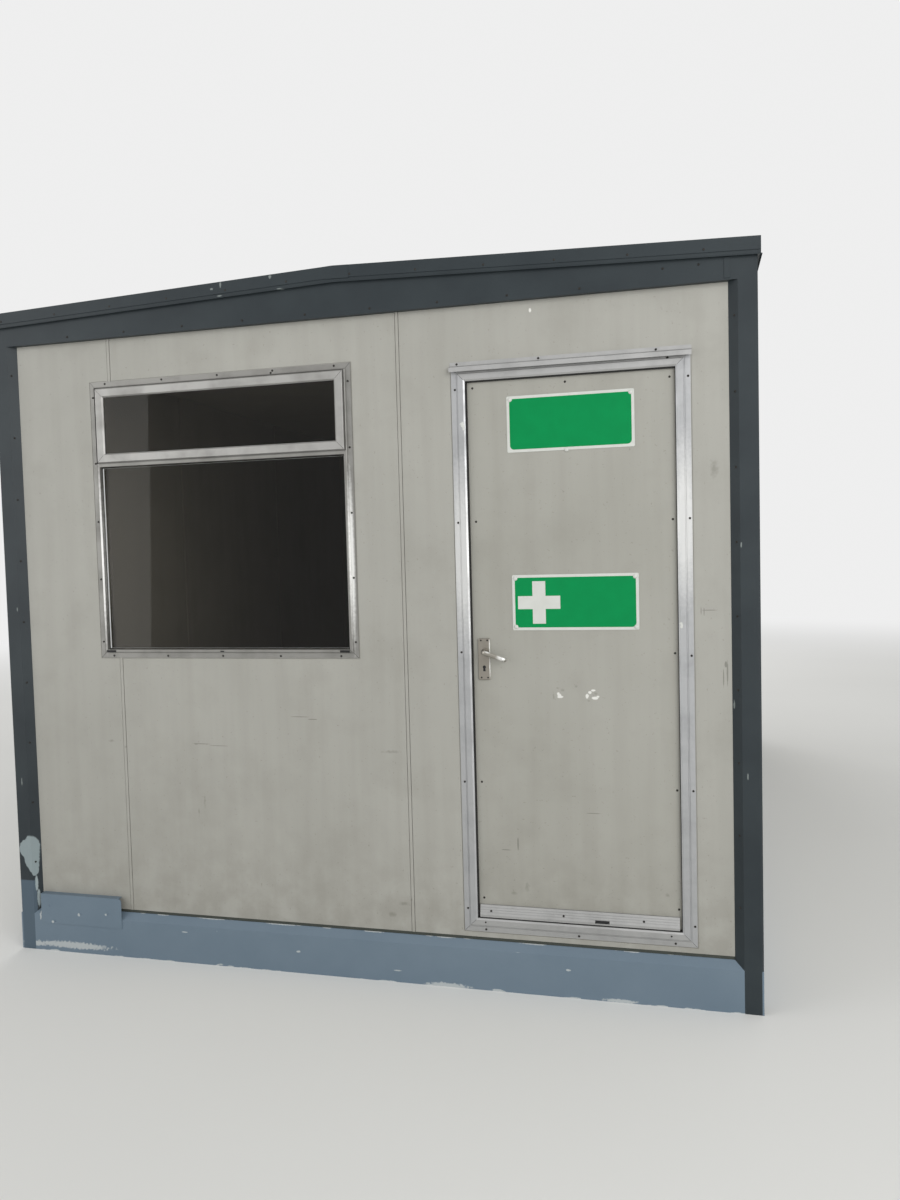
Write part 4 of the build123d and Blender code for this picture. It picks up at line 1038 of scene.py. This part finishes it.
# %% Screws and painted keyhole shade of the handle plates
HANDLE_ACROSS = 1921
PLATE_SCREWS = [(HANDLE_ACROSS + dx, z) for dx in (-11, 13) for z in (1106, 969.5)]
PLATE_OUTSIDE = -5.0
PLATE_INSIDE = -63.0
for side, out, facing in (("outside", PLATE_OUTSIDE, OUTWARD), ("inside", PLATE_INSIDE, INWARD)):
    heads(f"handle_screws_{side}", [on_front(x, z, out) for x, z in PLATE_SCREWS],
          SMALL_SCREW, dark_screws, "door", facing=facing)
KEYHOLE_UP = 1008
KEYHOLE_RADIUS = 6
KEYHOLE_SLOT = [(-3.6, 0), (-4.6, -15.5), (4.6, -15.5), (3.6, 0)]
KEYHOLE_RISE = 0.2
# Painted shade: a flat black keyhole shape lies on the plate for the dark of the hole.
shape = bmesh.new()
bmesh.ops.create_circle(
    shape, cap_ends=True, segments=24, radius=KEYHOLE_RADIUS * MM,
    matrix=Matrix.Translation(on_front(HANDLE_ACROSS, KEYHOLE_UP, PLATE_OUTSIDE + KEYHOLE_RISE))
    @ Matrix.Rotation(radians(90), 4, "X"))
flat_face(shape, [
    on_front(HANDLE_ACROSS + dx, KEYHOLE_UP + dz, PLATE_OUTSIDE + KEYHOLE_RISE + 0.1)
    for dx, dz in KEYHOLE_SLOT])
deepen(shape, list(shape.faces), 2 * KEYHOLE_RISE)
piece("keyhole_painted_shade", shape, black_plastic, "door")

# %% [markdown]
# The weather bar is held by three screws that stand square to its sloping face, and a thin black
# plate on it is the painted shade of a drain slot.

# %% Screws of the weather bar and the painted shade of its slot
BAR_RUN = 35
BAR_FALL = 9
BAR_SCREWS = [(1926, 101), (2194, 101), (2480, 101)]
BAR_SCREW_OUT = 1.3
BAR_SLOT = (2308, 2359, 84, 94.5, 5.0)
SLOT_MIDDLE = (2333, 89, 4.7)
heads("weather_bar_screws", [on_front(x, z, BAR_SCREW_OUT) for x, z in BAR_SCREWS],
      PAN_SCREW, dark_screws, "door", facing=Vector((0, -BAR_RUN, BAR_FALL)).normalized())
# Painted shade: a thin black plate on the bar stands in for the dark of the drain slot.
shape = bmesh.new()
deepen(shape, [wall_face(shape, *BAR_SLOT)], 0.8)
bmesh.ops.rotate(shape, cent=on_front(*SLOT_MIDDLE), verts=shape.verts,
                 matrix=Matrix.Rotation(-atan2(BAR_FALL, BAR_RUN), 3, "X"))
piece("weather_bar_slot_painted_shade", shape, black_plastic, "door")

# %% [markdown]
# The floor is a plain pale sheet under the part. It catches the shadow, and far from the part it
# melts into the surround for the camera, so that no horizon line cuts across the picture.

# %% Floor
FLOOR_NEAR = 6.0
FLOOR_FAR = 16.0
FLOOR_RADIUS = 45
floor_finish, tree, place = new_finish("painted_studio_floor")
tone = patches(tree, place, 2500, 0.3, 0.7, detail=2.0)
floor_colour = blend(tree, tone, paint("E6E6E3"), paint("E0E0DD"), 0.5)
sheet = add(tree, "ShaderNodeBsdfDiffuse", {"Color": floor_colour})
distance = add(tree, "ShaderNodeVectorMath", {0: place}, operation="LENGTH").outputs["Value"]
far_off = add(tree, "ShaderNodeMapRange", {
    "Value": distance, "From Min": FLOOR_NEAR, "From Max": FLOOR_FAR},
    interpolation_type="SMOOTHSTEP").outputs[0]
haze = add(tree, "ShaderNodeEmission", {"Color": SURROUND, "Strength": 1.0})
floor_mix = add(tree, "ShaderNodeMixShader", {0: far_off, 1: sheet.outputs[0], 2: haze.outputs[0]})
add(tree, "ShaderNodeOutputMaterial", {"Surface": floor_mix.outputs[0]})
shape = bmesh.new()
bmesh.ops.create_circle(shape, cap_ends=True, segments=64, radius=FLOOR_RADIUS)
mesh = bpy.data.meshes.new("studio_floor")
shape.to_mesh(mesh)
shape.free()
mesh.materials.append(floor_finish)
floor = bpy.data.objects.new("studio_floor", mesh)
bpy.context.scene.collection.objects.link(floor)
